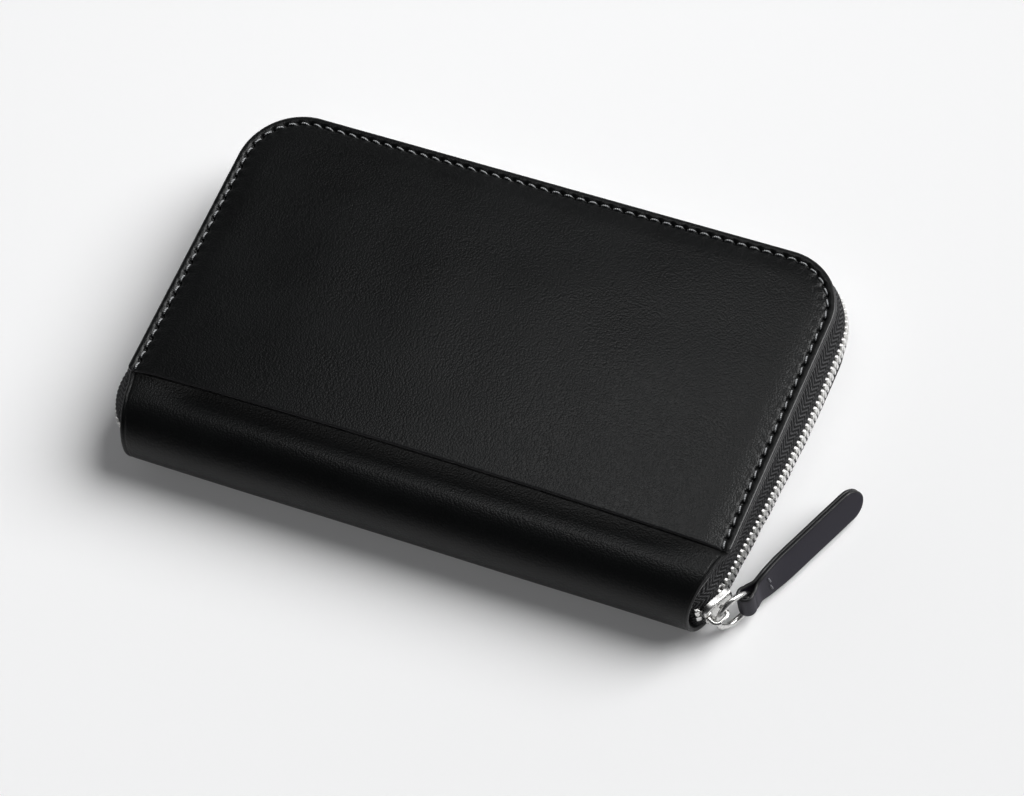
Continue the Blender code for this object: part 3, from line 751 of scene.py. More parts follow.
LEATHER = leather_look(
    "black_leather", (0.0008, 0.0011, 0.0012), (0.0024, 0.0031, 0.0034), 0.375, 0.78, 0.086
)
LEATHER.set("Specular IOR Level", 0.38)
INNER_LEATHER = leather_look(
    "inner_leather", (0.010, 0.010, 0.011), (0.02, 0.02, 0.021), 0.55, 0.8, 0.09
)
PULL_LEATHER = leather_look(
    "pull_leather", (0.0095, 0.0078, 0.0165), (0.0150, 0.0125, 0.0255), 0.50, 0.7, 0.04
)
EDGE_PAINT = edge_paint_look()
SUEDE = suede_look()
THREAD = thread_look("seam_thread", (0.22, 0.225, 0.23), (0.52, 0.53, 0.54))
DARK_THREAD = thread_look("inner_thread", (0.10, 0.10, 0.11), (0.24, 0.24, 0.26))
TAPE = tape_look()
LINING = lining_look()
BOARD = board_look()
NICKEL = nickel_look("bright_nickel", (0.60, 0.595, 0.585), (0.76, 0.755, 0.74), 0.21, 0.34)
TOOTH_NICKEL = nickel_look("tooth_nickel", (0.80, 0.795, 0.785), (0.95, 0.945, 0.93), 0.30, 0.48)


# ---------------------------------------------------------------- studio


def make_camera():
    """Above the right front corner, looking down at the top and the spine."""
    back = Vector(CAMERA_BACK).normalized()
    up = back.cross(Vector(CAMERA_RIGHT).normalized()).normalized()
    matrix = Matrix((up.cross(back), up, back)).transposed().to_4x4()
    matrix.translation = Vector(CAMERA_AT)
    data = bpy.data.cameras.new("camera")
    data.sensor_fit = "HORIZONTAL"
    data.sensor_width = 36.0
    data.lens = CAMERA_LENS
    data.clip_start = 0.05
    data.clip_end = 50.0
    camera = add_object("camera", data)
    camera.matrix_world = matrix
    bpy.context.scene.camera = camera


def make_world():
    """Dim overhead, with a pale band low on the left and at the back."""
    world = bpy.data.worlds.new("studio")
    bpy.context.scene.world = world
    world.use_nodes = True
    sky = Wiring(world.node_tree)
    ray = sky.node("ShaderNodeTexCoord").outputs["Generated"]
    height = sky.node("ShaderNodeSeparateXYZ", Vector=ray).outputs["Z"]
    low = sky.remap(height, 0.10, 0.55, 1.0, 0.0, "SMOOTHSTEP")
    facing = sky.vector("DOT_PRODUCT", ray, PALE_SIDE)
    side = sky.remap(facing, -0.3, 0.7, 0.22, 1.0, "SMOOTHSTEP")
    tone = sky.mix(sky.math("MULTIPLY", low, side), DIM_OVERHEAD, PALE_BAND)
    background = world.node_tree.nodes["Background"]
    sky.feed(background.inputs["Color"], tone)
    background.inputs["Strength"].default_value = 1.0


def aim_along(item, direction):
    item.rotation_euler = Vector(direction).to_track_quat("-Z", "Y").to_euler()


FLOOR_REACH = 4000.0
FLOOR_Z = -0.02


def make_studio():
    """A pale floor under one wide soft light from the back right, and a dim surround."""
    corners = ((-1, -1), (1, -1), (1, 1), (-1, 1))
    floor = make_object(
        "floor",
        [(FLOOR_REACH * x, FLOOR_REACH * y, FLOOR_Z) for x, y in corners],
        [(0, 1, 2, 3)],
        [Look("floor_paper", FLOOR_TONE, 0.95).mat],
    )
    make_world()
    sun = bpy.data.lights.new("soft_light", "SUN")
    sun.energy = LIGHT_POWER
    sun.angle = math.radians(LIGHT_SPREAD)
    aim_along(add_object("soft_light", sun), -Vector(LIGHT_FROM))
    box = bpy.data.lights.new("softbox", "AREA")
    box.shape = "SQUARE"
    box.size = SOFTBOX_SIZE
    box.energy = SOFTBOX_POWER
    box.use_shadow = False
    holder = add_object("softbox", box)
    holder.location = SOFTBOX_AT
    aim_along(holder, Vector(SOFTBOX_AIM) - Vector(SOFTBOX_AT))
    view = bpy.context.scene.view_settings
    view.view_transform = "Standard"
    view.gamma = 0.85


# ---------------------------------------------------------------- leather wrap


def wrap_profile(depth, steps):
    """Points (y, z, side, turned, length) along the wrap, bottom back edge to top back edge.

    depth is how far inside the wrap's outer face the line runs; side is -1 below and +1 above;
    turned is 0 on the covers and 1 at the spine's nose.
    """
    radius = SPINE_R - depth
    cover_ys = [y for _, y in arc(0.0, CORNER_Y, CORNER_R, 90.0, 0.0, 14)]
    cover_ys += [CORNER_Y + (SPINE_Y - CORNER_Y) * i / steps for i in range(1, steps + 1)]
    points = [(y, MID_Z - radius, -1, 0.0, BACK_Y - y) for y in cover_ys]
    start = BACK_Y - SPINE_Y
    turns = 36
    for i in range(1, turns):
        angle = math.pi * i / turns
        y = SPINE_Y - radius * math.sin(angle)
        z = MID_Z - radius * math.cos(angle)
        turned = 1.0 - abs(2.0 * i / turns - 1.0)
        side = -1 if angle < math.pi / 2.0 else 1
        points.append((y, z, side, turned, start + SPINE_R * angle))
    end = start + SPINE_R * math.pi - SPINE_Y
    return points + [(y, MID_Z + radius, 1, 0.0, end + y) for y in reversed(cover_ys)]


def column_shares(fine, coarse):
    """Shares from 0 to 1 across a sheet, closer together near both ends."""
    ends = [0.02 * i / fine for i in range(fine)]
    middle = [0.02 + 0.96 * i / coarse for i in range(coarse + 1)]
    return ends + middle + [1.0 - e for e in reversed(ends)]


def row_ends(y, inset, side, turned, share=1.0):
    """A row's y, left end and right end, for a sheet drawn in at its border by inset.

    share is how much of the wrap's own shortness at the spine's ends the sheet follows.
    """
    y_in, half = y, HALF_LENGTH - inset
    if turned == 0.0 and y > CORNER_Y:
        lean = (y - CORNER_Y) / CORNER_R
        y_in = CORNER_Y + (CORNER_R - inset) * lean
        half = CORNER_X + (CORNER_R - inset) * math.sqrt(max(0.0, 1.0 - lean * lean))
    on_spine = math.sin(turned * math.pi / 2.0) if turned > 0.0 else None
    left = share * draw_in(False, side > 0, y, on_spine) - half
    return y_in, left, half - share * draw_in(True, side > 0, y, on_spine)


def wrap_grid(depth, inset, pressed_in):
    """Grid of the wrap's sheet at a given depth, drawn in at its border by inset.

    pressed_in adds the crease along the ends and the seam's groove on the underside.
    """
    rows, rest = [], []
    shares = np.array(column_shares(14, 56))
    for y, z, side, turned, length in wrap_profile(depth, 26):
        y_in, left, right = row_ends(y, inset, side, turned)
        x = left + (right - left) * shares
        height, y_out = np.full_like(x, z), y_in
        if side > 0:
            height -= POCKET_DISH * edge_rise(x, y_in) * smooth((y_in - SPINE_Y) / 6.0)
        if pressed_in and (side > 0 or turned > 0.0):
            from_end = np.minimum(x - left, right - x) + inset
            pressed = CREASE_DEPTH * bell((from_end - CREASE_INSET) / CREASE_WIDTH)
            pressed *= smooth((MOUTH_Y + 3.0 - y_in) / 3.0)
            outward = unit(on_grid(0.0, min(y_in - SPINE_Y, 0.0), height - MID_Z))
            y_out = y_in - outward[:, 1] * pressed
            height -= outward[:, 2] * pressed
        if pressed_in and side < 0 and turned == 0.0:
            reach = np.where(x < 0.0, -left, right) + inset
            _, from_edge = seam_position(x * HALF_LENGTH / np.maximum(1.0, reach), y_in)
            height += UNDER_GROOVE * bell((from_edge - SEAM_MARGIN) / 0.5)
            height += MARGIN_LIFT * smooth((4.6 - from_edge) / 2.2)
        rows.append(on_grid(x, y_out, height))
        rest.append(on_grid(x, length, depth))
    return np.array(rows), np.array(rest)


def make_wrap():
    """Bottom cover, spine and base of the top cover: one piece of leather, bending at the spine."""
    edge_r = 0.55
    outer, rest_outer = wrap_grid(0.0, edge_r, True)
    inner, rest_inner = wrap_grid(WRAP_T, edge_r, False)
    swell = 0.10 * undulation(rest_outer[..., 0], rest_outer[..., 1], 38.0, 5)
    soft = smooth((HALF_LENGTH - np.abs(outer[..., 0])) / 12.0)
    bottom = outer[..., 2] < 0.5
    lift = np.where(bottom, 0.0, swell * soft)
    outward = outer - (0.0, 0.0, MID_Z)
    outward[..., 0] = 0.0
    outward[..., 1] = np.minimum(outward[..., 1] - SPINE_Y, 0.0)
    outer = outer + unit(outward) * lift[..., None]
    verts, faces, marks = shell_from_grid(outer, inner, 1.0, (edge_r, 6, 0.6))
    rest = shell_rest(verts, rest_outer, rest_inner)
    item = make_object(
        "leather_wrap", verts, faces, [LEATHER.mat, EDGE_PAINT.mat, SUEDE.mat], marks, rest
    )
    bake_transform(item)
    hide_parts("wrap_lower", "wrap_upper")
    return item


# ---------------------------------------------------------------- outer pocket


HALF_SEAM = CORNER_Y - MOUTH_Y + (CORNER_R - SEAM_MARGIN) * math.pi / 2.0 + CORNER_X
SEAM_STITCHES = int(round(HALF_SEAM / STITCH_PITCH))
SEAM_PITCH = HALF_SEAM / SEAM_STITCHES


def pocket_bottom(x, y):
    """Inner face of the pocket, resting just clear of the cover at its margin."""
    return WRAP_H + 0.06 + panel_dome(x, y)


def pocket_top(x, y):
    """Outer face of the pocket: puffed inside its seam, drawn down at the seam and its holes."""
    along, depth = seam_position(x, y)
    past = depth - SEAM_MARGIN
    to_hole = along - SEAM_PITCH * np.round(along / SEAM_PITCH)
    height = PANEL_TOP + panel_dome(x, y)
    height += POCKET_PUFF * smooth((past - 0.1) / PUFF_RUN)
    height -= GROOVE_DEPTH * bell(past / GROOVE_WIDTH)
    height -= HOLE_DEPTH * bell((to_hole + past * 0.5) / HOLE_SIZE) * bell(past / GROOVE_WIDTH)
    height -= TUG_DEPTH * bell(to_hole / 1.1) * bell((past - 0.9) / 1.5)
    height += 0.08 * bell((depth - 1.1) / 0.6) - 0.10 * bell(depth / 0.4)
    return height + 0.09 * undulation(x, y, 30.0, 3) * smooth((depth - 5.0) / 10.0)


def make_pocket():
    """The outer pocket's panel, with its mouth toward the spine."""
    edge_r = 0.5
    radii = (1.2, CORNER_R, CORNER_R, 1.2)
    box = (-HALF_LENGTH, HALF_LENGTH, MOUTH_Y, BACK_Y)
    outline = rounded_rect(*box, radii, edge_r, 0.45)
    points = []
    for inset in seam_insets(0.75, 6.6, SEAM_MARGIN, 0.25, 0.06):
        spacing = 0.35 + 0.05 * (inset - SEAM_MARGIN) ** 2
        points += rounded_rect(*box, radii, inset, spacing)
    inside = 7.75
    for x, y in filling(
        inside - HALF_LENGTH, HALF_LENGTH - inside, MOUTH_Y + inside, BACK_Y - inside, 1.5
    ):
        if seam_position(np.array(x), np.array(y))[1] > inside - 0.35:
            points.append((x, y))
    border = (edge_r, 7, 0.5)
    verts, faces, marks = panel_from_outline(outline, points, pocket_top, pocket_bottom, border)
    item = make_object(
        "pocket_panel", verts, faces, [LEATHER.mat, EDGE_PAINT.mat, SUEDE.mat], marks
    )
    return place(item, "upper_half", ["outer_pocket_panel"])


def seam_point(side, along):
    """Point and along-direction of the pocket seam; side is -1 left or +1 right."""
    run = CORNER_Y - MOUTH_Y
    radius = CORNER_R - SEAM_MARGIN
    turn = radius * math.pi / 2.0
    if along <= run:
        return Vector((side * (HALF_LENGTH - SEAM_MARGIN), MOUTH_Y + along, 0)), Vector((0, 1, 0))
    if along <= run + turn:
        angle = (along - run) / radius
        outward = Vector((side * math.cos(angle), math.sin(angle), 0))
        point = Vector((side * CORNER_X, CORNER_Y, 0)) + radius * outward
        return point, Vector((-side * math.sin(angle), math.cos(angle), 0))
    x = CORNER_X - (along - run - turn)
    return Vector((side * x, BACK_Y - SEAM_MARGIN, 0)), Vector((-side, 0, 0))


def add_stitch(merger, start, end, up, radius, sag, arch, steps=7, sides=6):
    """One stitch: a short length of thread that dips into its holes at both ends."""
    start, end, up = np.array(start, float), np.array(end, float), np.array(up, float)
    length = float(np.linalg.norm(end - start))
    share = np.arange(steps + 1)[:, None] / steps
    swell = np.sin(math.pi * share)
    rise = arch * swell ** 0.6 - sag * (1.0 - swell) ** 2
    size = radius * (0.72 + 0.28 * swell[:, 0] ** 0.5)
    verts, faces = tube_along(start + (end - start) * share + up * rise, size, sides, up)
    turn = 2.0 * math.pi * np.arange(sides) / sides
    merger.add(verts, faces, on_grid(length * share, turn, start[0] + start[1]).reshape(-1, 3))


def sew_seam(name, body, nodes, gap, lean, z, up, **thread):
    """Stitches round three sides of the top pocket, or of the underside where up is -1.

    gap is the share of the pitch left at each end of a stitch, and lean is its slant.
    """
    merger = Merger()
    for side in (-1, 1):
        for k in range(SEAM_STITCHES):
            _, ahead = seam_point(side, (k + 0.5) * SEAM_PITCH)
            across = Vector((ahead.y, -ahead.x, 0.0)) * side
            ends = []
            for share, slant in ((gap, lean), (1.0 - gap, -lean)):
                spot = seam_point(side, (k + share) * SEAM_PITCH)[0] + across * slant
                if up < 0:
                    spot.x *= 1.0 - draw_in(side > 0, False, spot.y) / HALF_LENGTH
                ends.append((spot.x, spot.y, z))
            add_stitch(merger, *ends, (0, 0, up), **thread)
    place(merger.make(name, [THREAD.mat]), body, nodes)


def make_seams():
    """Slanted saddle stitches on the pocket, and the same seam sunk in the underside's groove."""
    sew_seam(
        "pocket_stitches", "upper_half", ["pocket_seam_thread"], 0.2, 0.16, PANEL_TOP - 0.1, 1,
        radius=0.27, sag=0.6, arch=0.14, steps=8, sides=7,
    )
    sew_seam(
        "cover_stitches", "lower_half", [], 0.15, 0.0, 0.42, -1, radius=0.24, sag=0.3, arch=0.1
    )


# ---------------------------------------------------------------- zip


# Each side's line of teeth in plan: front end, widest point of the turn-in, end of the slanted
# run, then how fast the turn-in rounds and how much the run eases toward its end.
RIGHT_LINE = ((82.6, -51.3), (87.8, -45.2), (91.6, 18.0), 1.25, 1.45)
LEFT_LINE = ((-85.5, -49.6), (-93.5, -36.5), (-91.3, 31.0), 1.0, 1.1)


def front_line(line, count):
    """Points from the front end round the turn-in and along the slanted run."""
    front, turn, back, rounding, ease = line
    points = []
    third = count // 3
    for i in range(third):
        angle = math.pi / 2.0 * i / third
        x = front[0] + (turn[0] - front[0]) * math.sin(angle) ** rounding
        y = turn[1] + (front[1] - turn[1]) * math.cos(angle) ** rounding
        points.append(np.array((x, y)))
    for i in range(count - third + 1):
        t = i / (count - third)
        x = turn[0] + (back[0] - turn[0]) * (1.0 - (1.0 - t) ** ease)
        points.append(np.array((x, turn[1] + (back[1] - turn[1]) * t)))
    return points


def spline(knots, t):
    """Catmull-Rom curve through knots; t runs from 0 to the last knot's number."""
    i = min(int(t), len(knots) - 2)
    t -= i
    near = [max(0, min(k, len(knots) - 1)) for k in range(i - 1, i + 3)]
    before, a, b, after = (np.array(knots[k]) for k in near)
    return 0.5 * (
        2.0 * a
        + (b - before) * t
        + (2.0 * before - 5.0 * a + 4.0 * b - after) * t * t
        + (3.0 * a - before - 3.0 * b + after) * t ** 3
    )


def zip_half(line, side):
    """Stations from one front end to the back's middle: leather edge, its normal, tooth point."""
    edge_x = side * HALF_LENGTH
    half = [(edge_x, y, side, 0.0, x, y) for x, y in front_line(line, FRONT_STEPS)]
    end_x, first = line[2]
    start = abs(end_x) - HALF_LENGTH
    for i in range(1, 7):
        y = first + (CORNER_Y - first) * i / 6.0
        out = start + (CORNER_BULGE - start) * i / 6.0
        half.append((edge_x, y, side, 0.0, edge_x + side * out, y))
    for i in range(1, CORNER_STEPS + 1):
        angle = math.pi / 2.0 * i / CORNER_STEPS
        normal = np.array((side * math.cos(angle), math.sin(angle)))
        point = (side * CORNER_X, CORNER_Y) + CORNER_R * normal
        half.append((*point, *normal, *(point + CORNER_BULGE * normal)))
    for i in range(1, BACK_STEPS + 1):
        x = CORNER_X * (1.0 - i / BACK_STEPS)
        swell = float(smooth((CORNER_X - x) / (CORNER_X - BACK_FLAT_X)))
        out = CORNER_BULGE + (BACK_BULGE - CORNER_BULGE) * swell
        half.append((side * x, BACK_Y, 0.0, 1.0, side * x, BACK_Y + out))
    return half


def spine_reach(y):
    """Height left between the middle plane and the inside of the wrap."""
    inside = SPINE_R - WRAP_T - GAP
    if y >= SPINE_Y:
        return inside
    return math.sqrt(max(1.0, inside * inside - (y - SPINE_Y) ** 2))


def even_path(spacing):
    """The zip's stations from left to right, evenly spaced along the teeth, and their lengths."""
    table = np.array(zip_half(LEFT_LINE, -1.0)[:-1] + zip_half(RIGHT_LINE, 1.0)[::-1])
    run = lengths_along(table[:, 4:])
    count = int(round(run[-1] / spacing))
    at = run[-1] * np.arange(count + 1) / count
    return np.column_stack([np.interp(at, run, column) for column in table.T]), at


def tape_knots(edge, normal, tooth, upper):
    """Section of one tape as plan offsets and heights: flange, shoulder, belly, toothed edge."""
    y = edge[1]
    right = edge[0] > 0
    on_side = abs(normal[1]) < 0.5 and y < 35.0
    short = draw_in(right, upper, y) if on_side else 0.0
    reach = spine_reach(y)
    wall = reach - TAPE_EDGE_H
    top = reach - TAPE_T / 2.0
    lead = edge - normal * (short + 0.9)
    span = tooth - lead
    length = max(0.2, float(np.linalg.norm(span)))
    out = span / length
    share = min(1.0, length / 2.5)
    places = (
        (lead - normal * 3.6, top),
        (lead - normal * 1.2, top),
        (lead - normal * 0.1, top - 0.1),
        (lead + span * 0.24, TAPE_EDGE_H + wall * (0.97 - 0.07 * share)),
        (lead + span * 0.52, TAPE_EDGE_H + wall * 0.75),
        (lead + span * 0.80, TAPE_EDGE_H + wall * 0.50),
        (tooth + out * 0.02, TAPE_EDGE_H + wall * 0.24),
        (tooth, TAPE_EDGE_H - 0.55),
        (tooth, 0.85),
    )
    return [(*p, h) for p, h in places]


def herringbone(along, across):
    """Height of the ribs of the woven tape, 0 to 1."""
    zigzag = np.abs(np.mod(across, 2.0 * RIB_COLUMN) - RIB_COLUMN)
    phase = (along + zigzag) / RIB_ALONG
    rib = 0.5 + 0.5 * np.cos(2.0 * math.pi * phase)
    off_middle = np.abs(2.0 * np.mod(across, RIB_COLUMN) / RIB_COLUMN - 1.0)
    turn = smooth(off_middle * 1.05 - 0.75)
    dots = 0.7 + 0.3 * np.cos(2.0 * math.pi * across / YARN)
    return rib * dots * (1.0 - 0.5 * turn)


def make_tape(name, side, body, node):
    """One tape of the zip; side is -1 for the lower and +1 for the upper."""
    table, run = even_path(0.36)
    sections = []
    knot_steps = 44
    for row in table:
        knots = tape_knots(row[:2], row[2:4], row[4:6], side > 0)
        last = len(knots) - 1
        sections.append([spline(knots, last * i / knot_steps) for i in range(knot_steps + 1)])
    grid = np.array(sections)
    grid[..., 2] = MID_Z + side * grid[..., 2]
    across = lengths_along(grid)
    across = across[:, -1:] - across
    along = run[:, None]
    normals = grid_normals(grid)
    if normals[len(grid) // 2, knot_steps // 2, 1] < 0.0:
        normals = -normals
    wave = 0.06 * np.sin(along * 0.55) * smooth(across / 3.0) * smooth((11.0 - across) / 3.0)
    relief = RIB_RELIEF * (herringbone(along, across) - 0.5)
    outer = grid + normals * (TAPE_T / 2.0 - 0.1 + wave + relief)[..., None]
    inner = grid - normals * (TAPE_T / 2.0 - 0.1 - wave)[..., None]
    verts, faces, _ = shell_from_grid(outer, inner, -1.0, (0.12, 3, 1.0))
    rest = on_grid(along, across, 0.0).reshape(-1, 3)
    rim = grid_rim(np.arange(len(rest)).reshape(across.shape))
    copies = (len(verts) - 2 * len(rest)) // len(rim)
    rest = np.concatenate([rest, rest] + [rest[rim]] * copies)
    item = make_object(name, verts, faces, [TAPE.mat], rest=rest)
    return place(item, body, [node])


def taken(bm):
    """A bmesh's points and faces, after which it is freed."""
    bm.verts.ensure_lookup_table()
    verts = np.array([v.co for v in bm.verts])
    faces = [tuple(v.index for v in f.verts) for f in bm.faces]
    bm.free()
    return verts, faces


def tooth_mesh():
    """One stamped tooth: legs clamped on the tape, body and head. X along, Y up, Z outwards."""
    outline = [(0.42, 2.45), (0.52, 1.9), (0.52, 0.85), (0.43, 0.45), (0.40, -0.25), (0.22, -0.6)]
    outline += [(-x, y) for x, y in reversed(outline)]
    bm = bmesh.new()
    base = [bm.verts.new((x, y, -1.0)) for x, y in outline]
    face = bm.faces.new(base)
    pushed = bmesh.ops.extrude_face_region(bm, geom=[face])
    for element in pushed["geom"]:
        if isinstance(element, bmesh.types.BMVert):
            element.co.z = 1.0
    for vert in bm.verts:
        head = min(1.0, max(0.0, (0.9 - vert.co.y) / 1.5))
        legs = min(1.0, max(0.0, (vert.co.y - 1.7) / 0.9))
        vert.co.z *= 1.0 - 0.3 * head - 0.15 * legs
    bmesh.ops.recalc_face_normals(bm, faces=bm.faces)
    bmesh.ops.bevel(
        bm, geom=list(bm.edges), offset=0.16, segments=2, affect="EDGES", profile=0.6,
        clamp_overlap=True,
    )
    bmesh.ops.recalc_face_normals(bm, faces=bm.faces)
    return taken(bm)


def make_teeth(name, side, phase, body, node):
    """One row of teeth; phase is 0 or 1, because the two rows take turns along the zip."""
    verts, faces = tooth_mesh()
    merger = Merger()
    table, _ = even_path(TOOTH_PITCH / 2.0)
    x, y = table[:, 4], table[:, 5]
    direction = unit(np.column_stack([np.gradient(x), np.gradient(y)]))
    rng = np.random.default_rng(11 + phase)
    for i in range(END_TEETH, len(x) - END_TEETH):
        if (i + phase) % 2:
            continue
        along, out = level_directions(direction[i])
        up = side * UP
        lean = rng.uniform(-0.02, 0.02)
        turned = along + up * lean
        straight = up - along * lean
        centre = np.array((x[i], y[i], MID_Z))
        placed = carry(verts, centre, turned, straight, out)
        merger.add(placed, faces if side > 0 else [tuple(reversed(f)) for f in faces])
    item = merger.make(name, [TOOTH_NICKEL.mat])
    sharpen(item, 35.0)
    return place(item, body, [node])


def bevelled_box(low, high, width):
    bm = bmesh.new()
    bmesh.ops.create_cube(bm, size=1.0)
    for vert in bm.verts:
        for axis in range(3):
            vert.co[axis] = low[axis] if vert.co[axis] < 0 else high[axis]
    bmesh.ops.bevel(
        bm, geom=list(bm.edges), offset=width, segments=3, affect="EDGES", profile=0.5
    )
    return taken(bm)


# How far the slider sits outside its CAD place, and its turn in plan
SLIDER_SHIFT = 0.5
SLIDER_YAW = math.radians(18.0)


def zip_axes():
    """The slider's centre, and the directions along it, up and outwards."""
    heading = math.atan2(1.0, SIDE_SLOPE) - SLIDER_YAW
    along = np.array((math.cos(heading), math.sin(heading), 0.0))
    return np.array((SLIDER_X + SLIDER_SHIFT, SLIDER_Y, MID_Z)), along, UP, np.cross(along, UP)


def to_zip(verts):
    """Carries points (along, up, out) to the slider's place."""
    return carry(verts, *zip_axes())


def to_path_end(verts, index):
    """Carries points (along, up, out) to one end of the zip; index 0 is left and -1 right."""
    table, _ = even_path(TOOTH_PITCH / 2.0)
    at = END_TEETH - 1 if index == 0 else len(table) - END_TEETH
    point = table[at, 4:6]
    ahead = unit(table[at + 1, 4:6] - table[at - 1, 4:6])
    along, out = level_directions(ahead)
    return carry(verts, np.array((point[0], point[1], MID_Z)), along, UP, out)


def make_stops():
    """The two stops at the right end of the zip and the joined stop at the left end."""
    for name, side, body in (
        ("zip_top_stop_lower", -1.0, "lower_half"),
        ("zip_top_stop_upper", 1.0, "upper_half"),
    ):
        a, b = sorted((side * 0.35, side * 2.6))
        verts, faces = bevelled_box((-0.1, a, -1.05), (1.5, b, 1.05), 0.3)
        item = make_object(name.replace("zip_", ""), to_path_end(verts, -1), faces, [NICKEL.mat])
        place(item, body, [name])
    verts, faces = bevelled_box((-1.7, -2.2, -1.2), (0.0, 2.2, 1.2), 0.35)
    item = make_object("bottom_stop", to_path_end(verts, 0), faces, [NICKEL.mat])
    place(item, "lower_half", ["zip_bottom_stop"])


# ---------------------------------------------------------------- slider, ring and pull


# The slider's plates, in millimetres from its centre
PLATE_HALF_L = 4.9
PLATE_HALF_H = 3.8
PLATE_FACE = 2.45
FLANGE_LIP = 0.45
PLATE_DISH = 0.85


def channel_section(half_h, share, thin):
    """Section of one slider plate with its two bent flanges, as (y, z) points from top to bottom.

    share is 0 in the plate's middle and 1 at its ends.
    """
    inside = PLATE_IN + 0.3
    wall = 0.7
    cut = 0.2
    radius = 0.5
    face = PLATE_FACE - thin
    flat = half_h - radius
    corner = arc(flat, face - radius, radius, 0.0, 90.0, 4)
    top = []
    for i in range(1, 12):
        t = 1.0 - 2.0 * i / 12.0
        dish = PLATE_DISH * (1.0 - share ** 4) * (1.0 - abs(t) ** 3.5)
        top.append((flat * t, face - dish))
    flange = [(half_h, FLANGE_LIP + cut), (half_h - cut, FLANGE_LIP)]
    flange += [(half_h - wall + cut, FLANGE_LIP), (half_h - wall, FLANGE_LIP + cut)]
    flange += [(half_h - wall, inside - cut), (half_h - wall - cut, inside)]
    far = [(-y, z) for y, z in corner[::-1] + flange]
    return corner + top + far + flange[::-1]


def slider_plate(face):
    """One plate lofted from nose to tail; face is +1 for the outer one and -1 for the inner one."""
    rows = []
    for i in range(17):
        t = math.sin(math.pi / 2.0 * (i / 8.0 - 1.0))
        nose = max(0.0, (-0.35 - t) / 0.65)
        tail = max(0.0, (t - 0.80) / 0.2)
        half = PLATE_HALF_H - 0.35 * float(smooth((t + 0.2) / 1.0))
        half *= 1.0 - 0.62 * (1.0 - math.sqrt(max(0.0, 1.0 - nose ** 2.4)))
        half -= 0.45 * (1.0 - math.sqrt(max(0.0, 1.0 - tail * tail)))
        thin = 0.35 * nose ** 4 + 0.3 * tail ** 4
        section = channel_section(half, abs(t), thin)
        rows.append([(t * PLATE_HALF_L, y, face * z) for y, z in section])
    rings = np.array(rows)
    count = rings.shape[1]
    return rings.reshape(-1, 3), ring_faces(len(rows), count)


def make_slider():
    """The slider's two plates on their post, and the bail that the ring hangs in."""
    merger = Merger()
    for face in (1.0, -1.0):
        verts, faces = slider_plate(face)
        merger.add(to_zip(verts), faces)
    verts, faces = bevelled_box((-4.3, -0.45, -1.9), (-2.5, 0.45, 1.9), 0.12)
    merger.add(to_zip(verts), faces)
    item = merger.make("slider", [NICKEL.mat])
    sharpen(item, 40.0)
    place(item, "zip_slider", ["slider_body"])

    foot = PLATE_FACE - 0.45
    bend = 1.5
    shoulder = (BAIL_IN + BAIL_OUT) / 2.0 - bend
    low, high = BAIL_T0 + 0.35, BAIL_T1 - 0.35
    rises = [foot + (shoulder - foot) * i / 3.0 for i in range(3)]
    side = [(low, z) for z in rises] + arc(low + bend, shoulder, bend, 180.0, 90.0, 8)
    side += arc(high - bend, shoulder, bend, 90.0, 0.0, 8) + [(high, z) for z in reversed(rises)]
    path = [(x, 0.0, z) for x, z in side]
    verts, faces = tube_along(path, 0.62, 12, (0.0, 1.0, 0.0), 0.62)
    item = make_object("bail", to_zip(verts), faces, [NICKEL.mat])
    place(item, "zip_slider", ["slider_bail"])


def ring_axes():
    """The ring's centre, and the level, upward and square directions of its plane."""
    low, high = cad_box("pull_ring")
    centre = np.array((low + high) / 2.0)
    turning = next(joint for joint in frame["joints"] if joint["name"] == "ring_turn")
    axis = unit(np.array(turning["axis"], float))
    return centre, unit(np.cross(UP, axis)), UP, axis


def make_ring():
    """The round wire ring, with the fine line where its ends meet."""
    centre, level, up, normal = ring_axes()
    steps, sides = 96, 20
    turn = 2.0 * math.pi * np.arange(sides)[:, None] / sides
    rings = []
    for i in range(steps):
        angle = 2.0 * math.pi * i / steps
        radial = level * math.cos(angle) + up * math.sin(angle)
        radius = RING_WIRE_R - 0.05 * float(bell((angle - math.radians(200.0)) / 0.02))
        reach = RING_R + radius * np.cos(turn)
        rings.append(centre + radial * reach + normal * radius * np.sin(turn))
    faces = ring_faces(steps, sides, closed_path=True)
    item = make_object("ring", np.concatenate(rings), faces, [NICKEL.mat])
    place(item, "pull_ring", ["pull_ring"])


# The strap: how it hangs from the ring, its thickness, folded loop and half widths
PULL_DROP = math.radians(1.2)
PULL_YAW = math.radians(-5.0)
PULL_EYE_INSET = 0.2
PULL_TIP_R = 4.95
STRAP_T = 1.08
STRAP_EDGE_R = 0.38
STRAP_BOW = 0.06
LOOP_OPEN = 52.0
LOOP_R = 2.0
LOOP_CLOSE = 3.4
NECK_HALF_W = 4.3
SHOULDER_HALF_W = 4.95
LOOP_SHIFT = -1.25
STRAP_TWIST = math.radians(-14.0)


def pull_axes():
    """The pull's eye, and the directions along it, across it and through its thickness."""
    centre, level, up, _ = ring_axes()
    radial = level * math.cos(PULL_DROP) - up * math.sin(PULL_DROP)
    tangent = level * math.sin(PULL_DROP) + up * math.cos(PULL_DROP)
    eye = centre + radial * (RING_R - PULL_EYE_INSET)
    through = np.cross(radial, tangent)
    along = radial * math.cos(PULL_YAW) + through * math.sin(PULL_YAW)
    face = np.cross(along, tangent)
    return eye, along, tangent, face


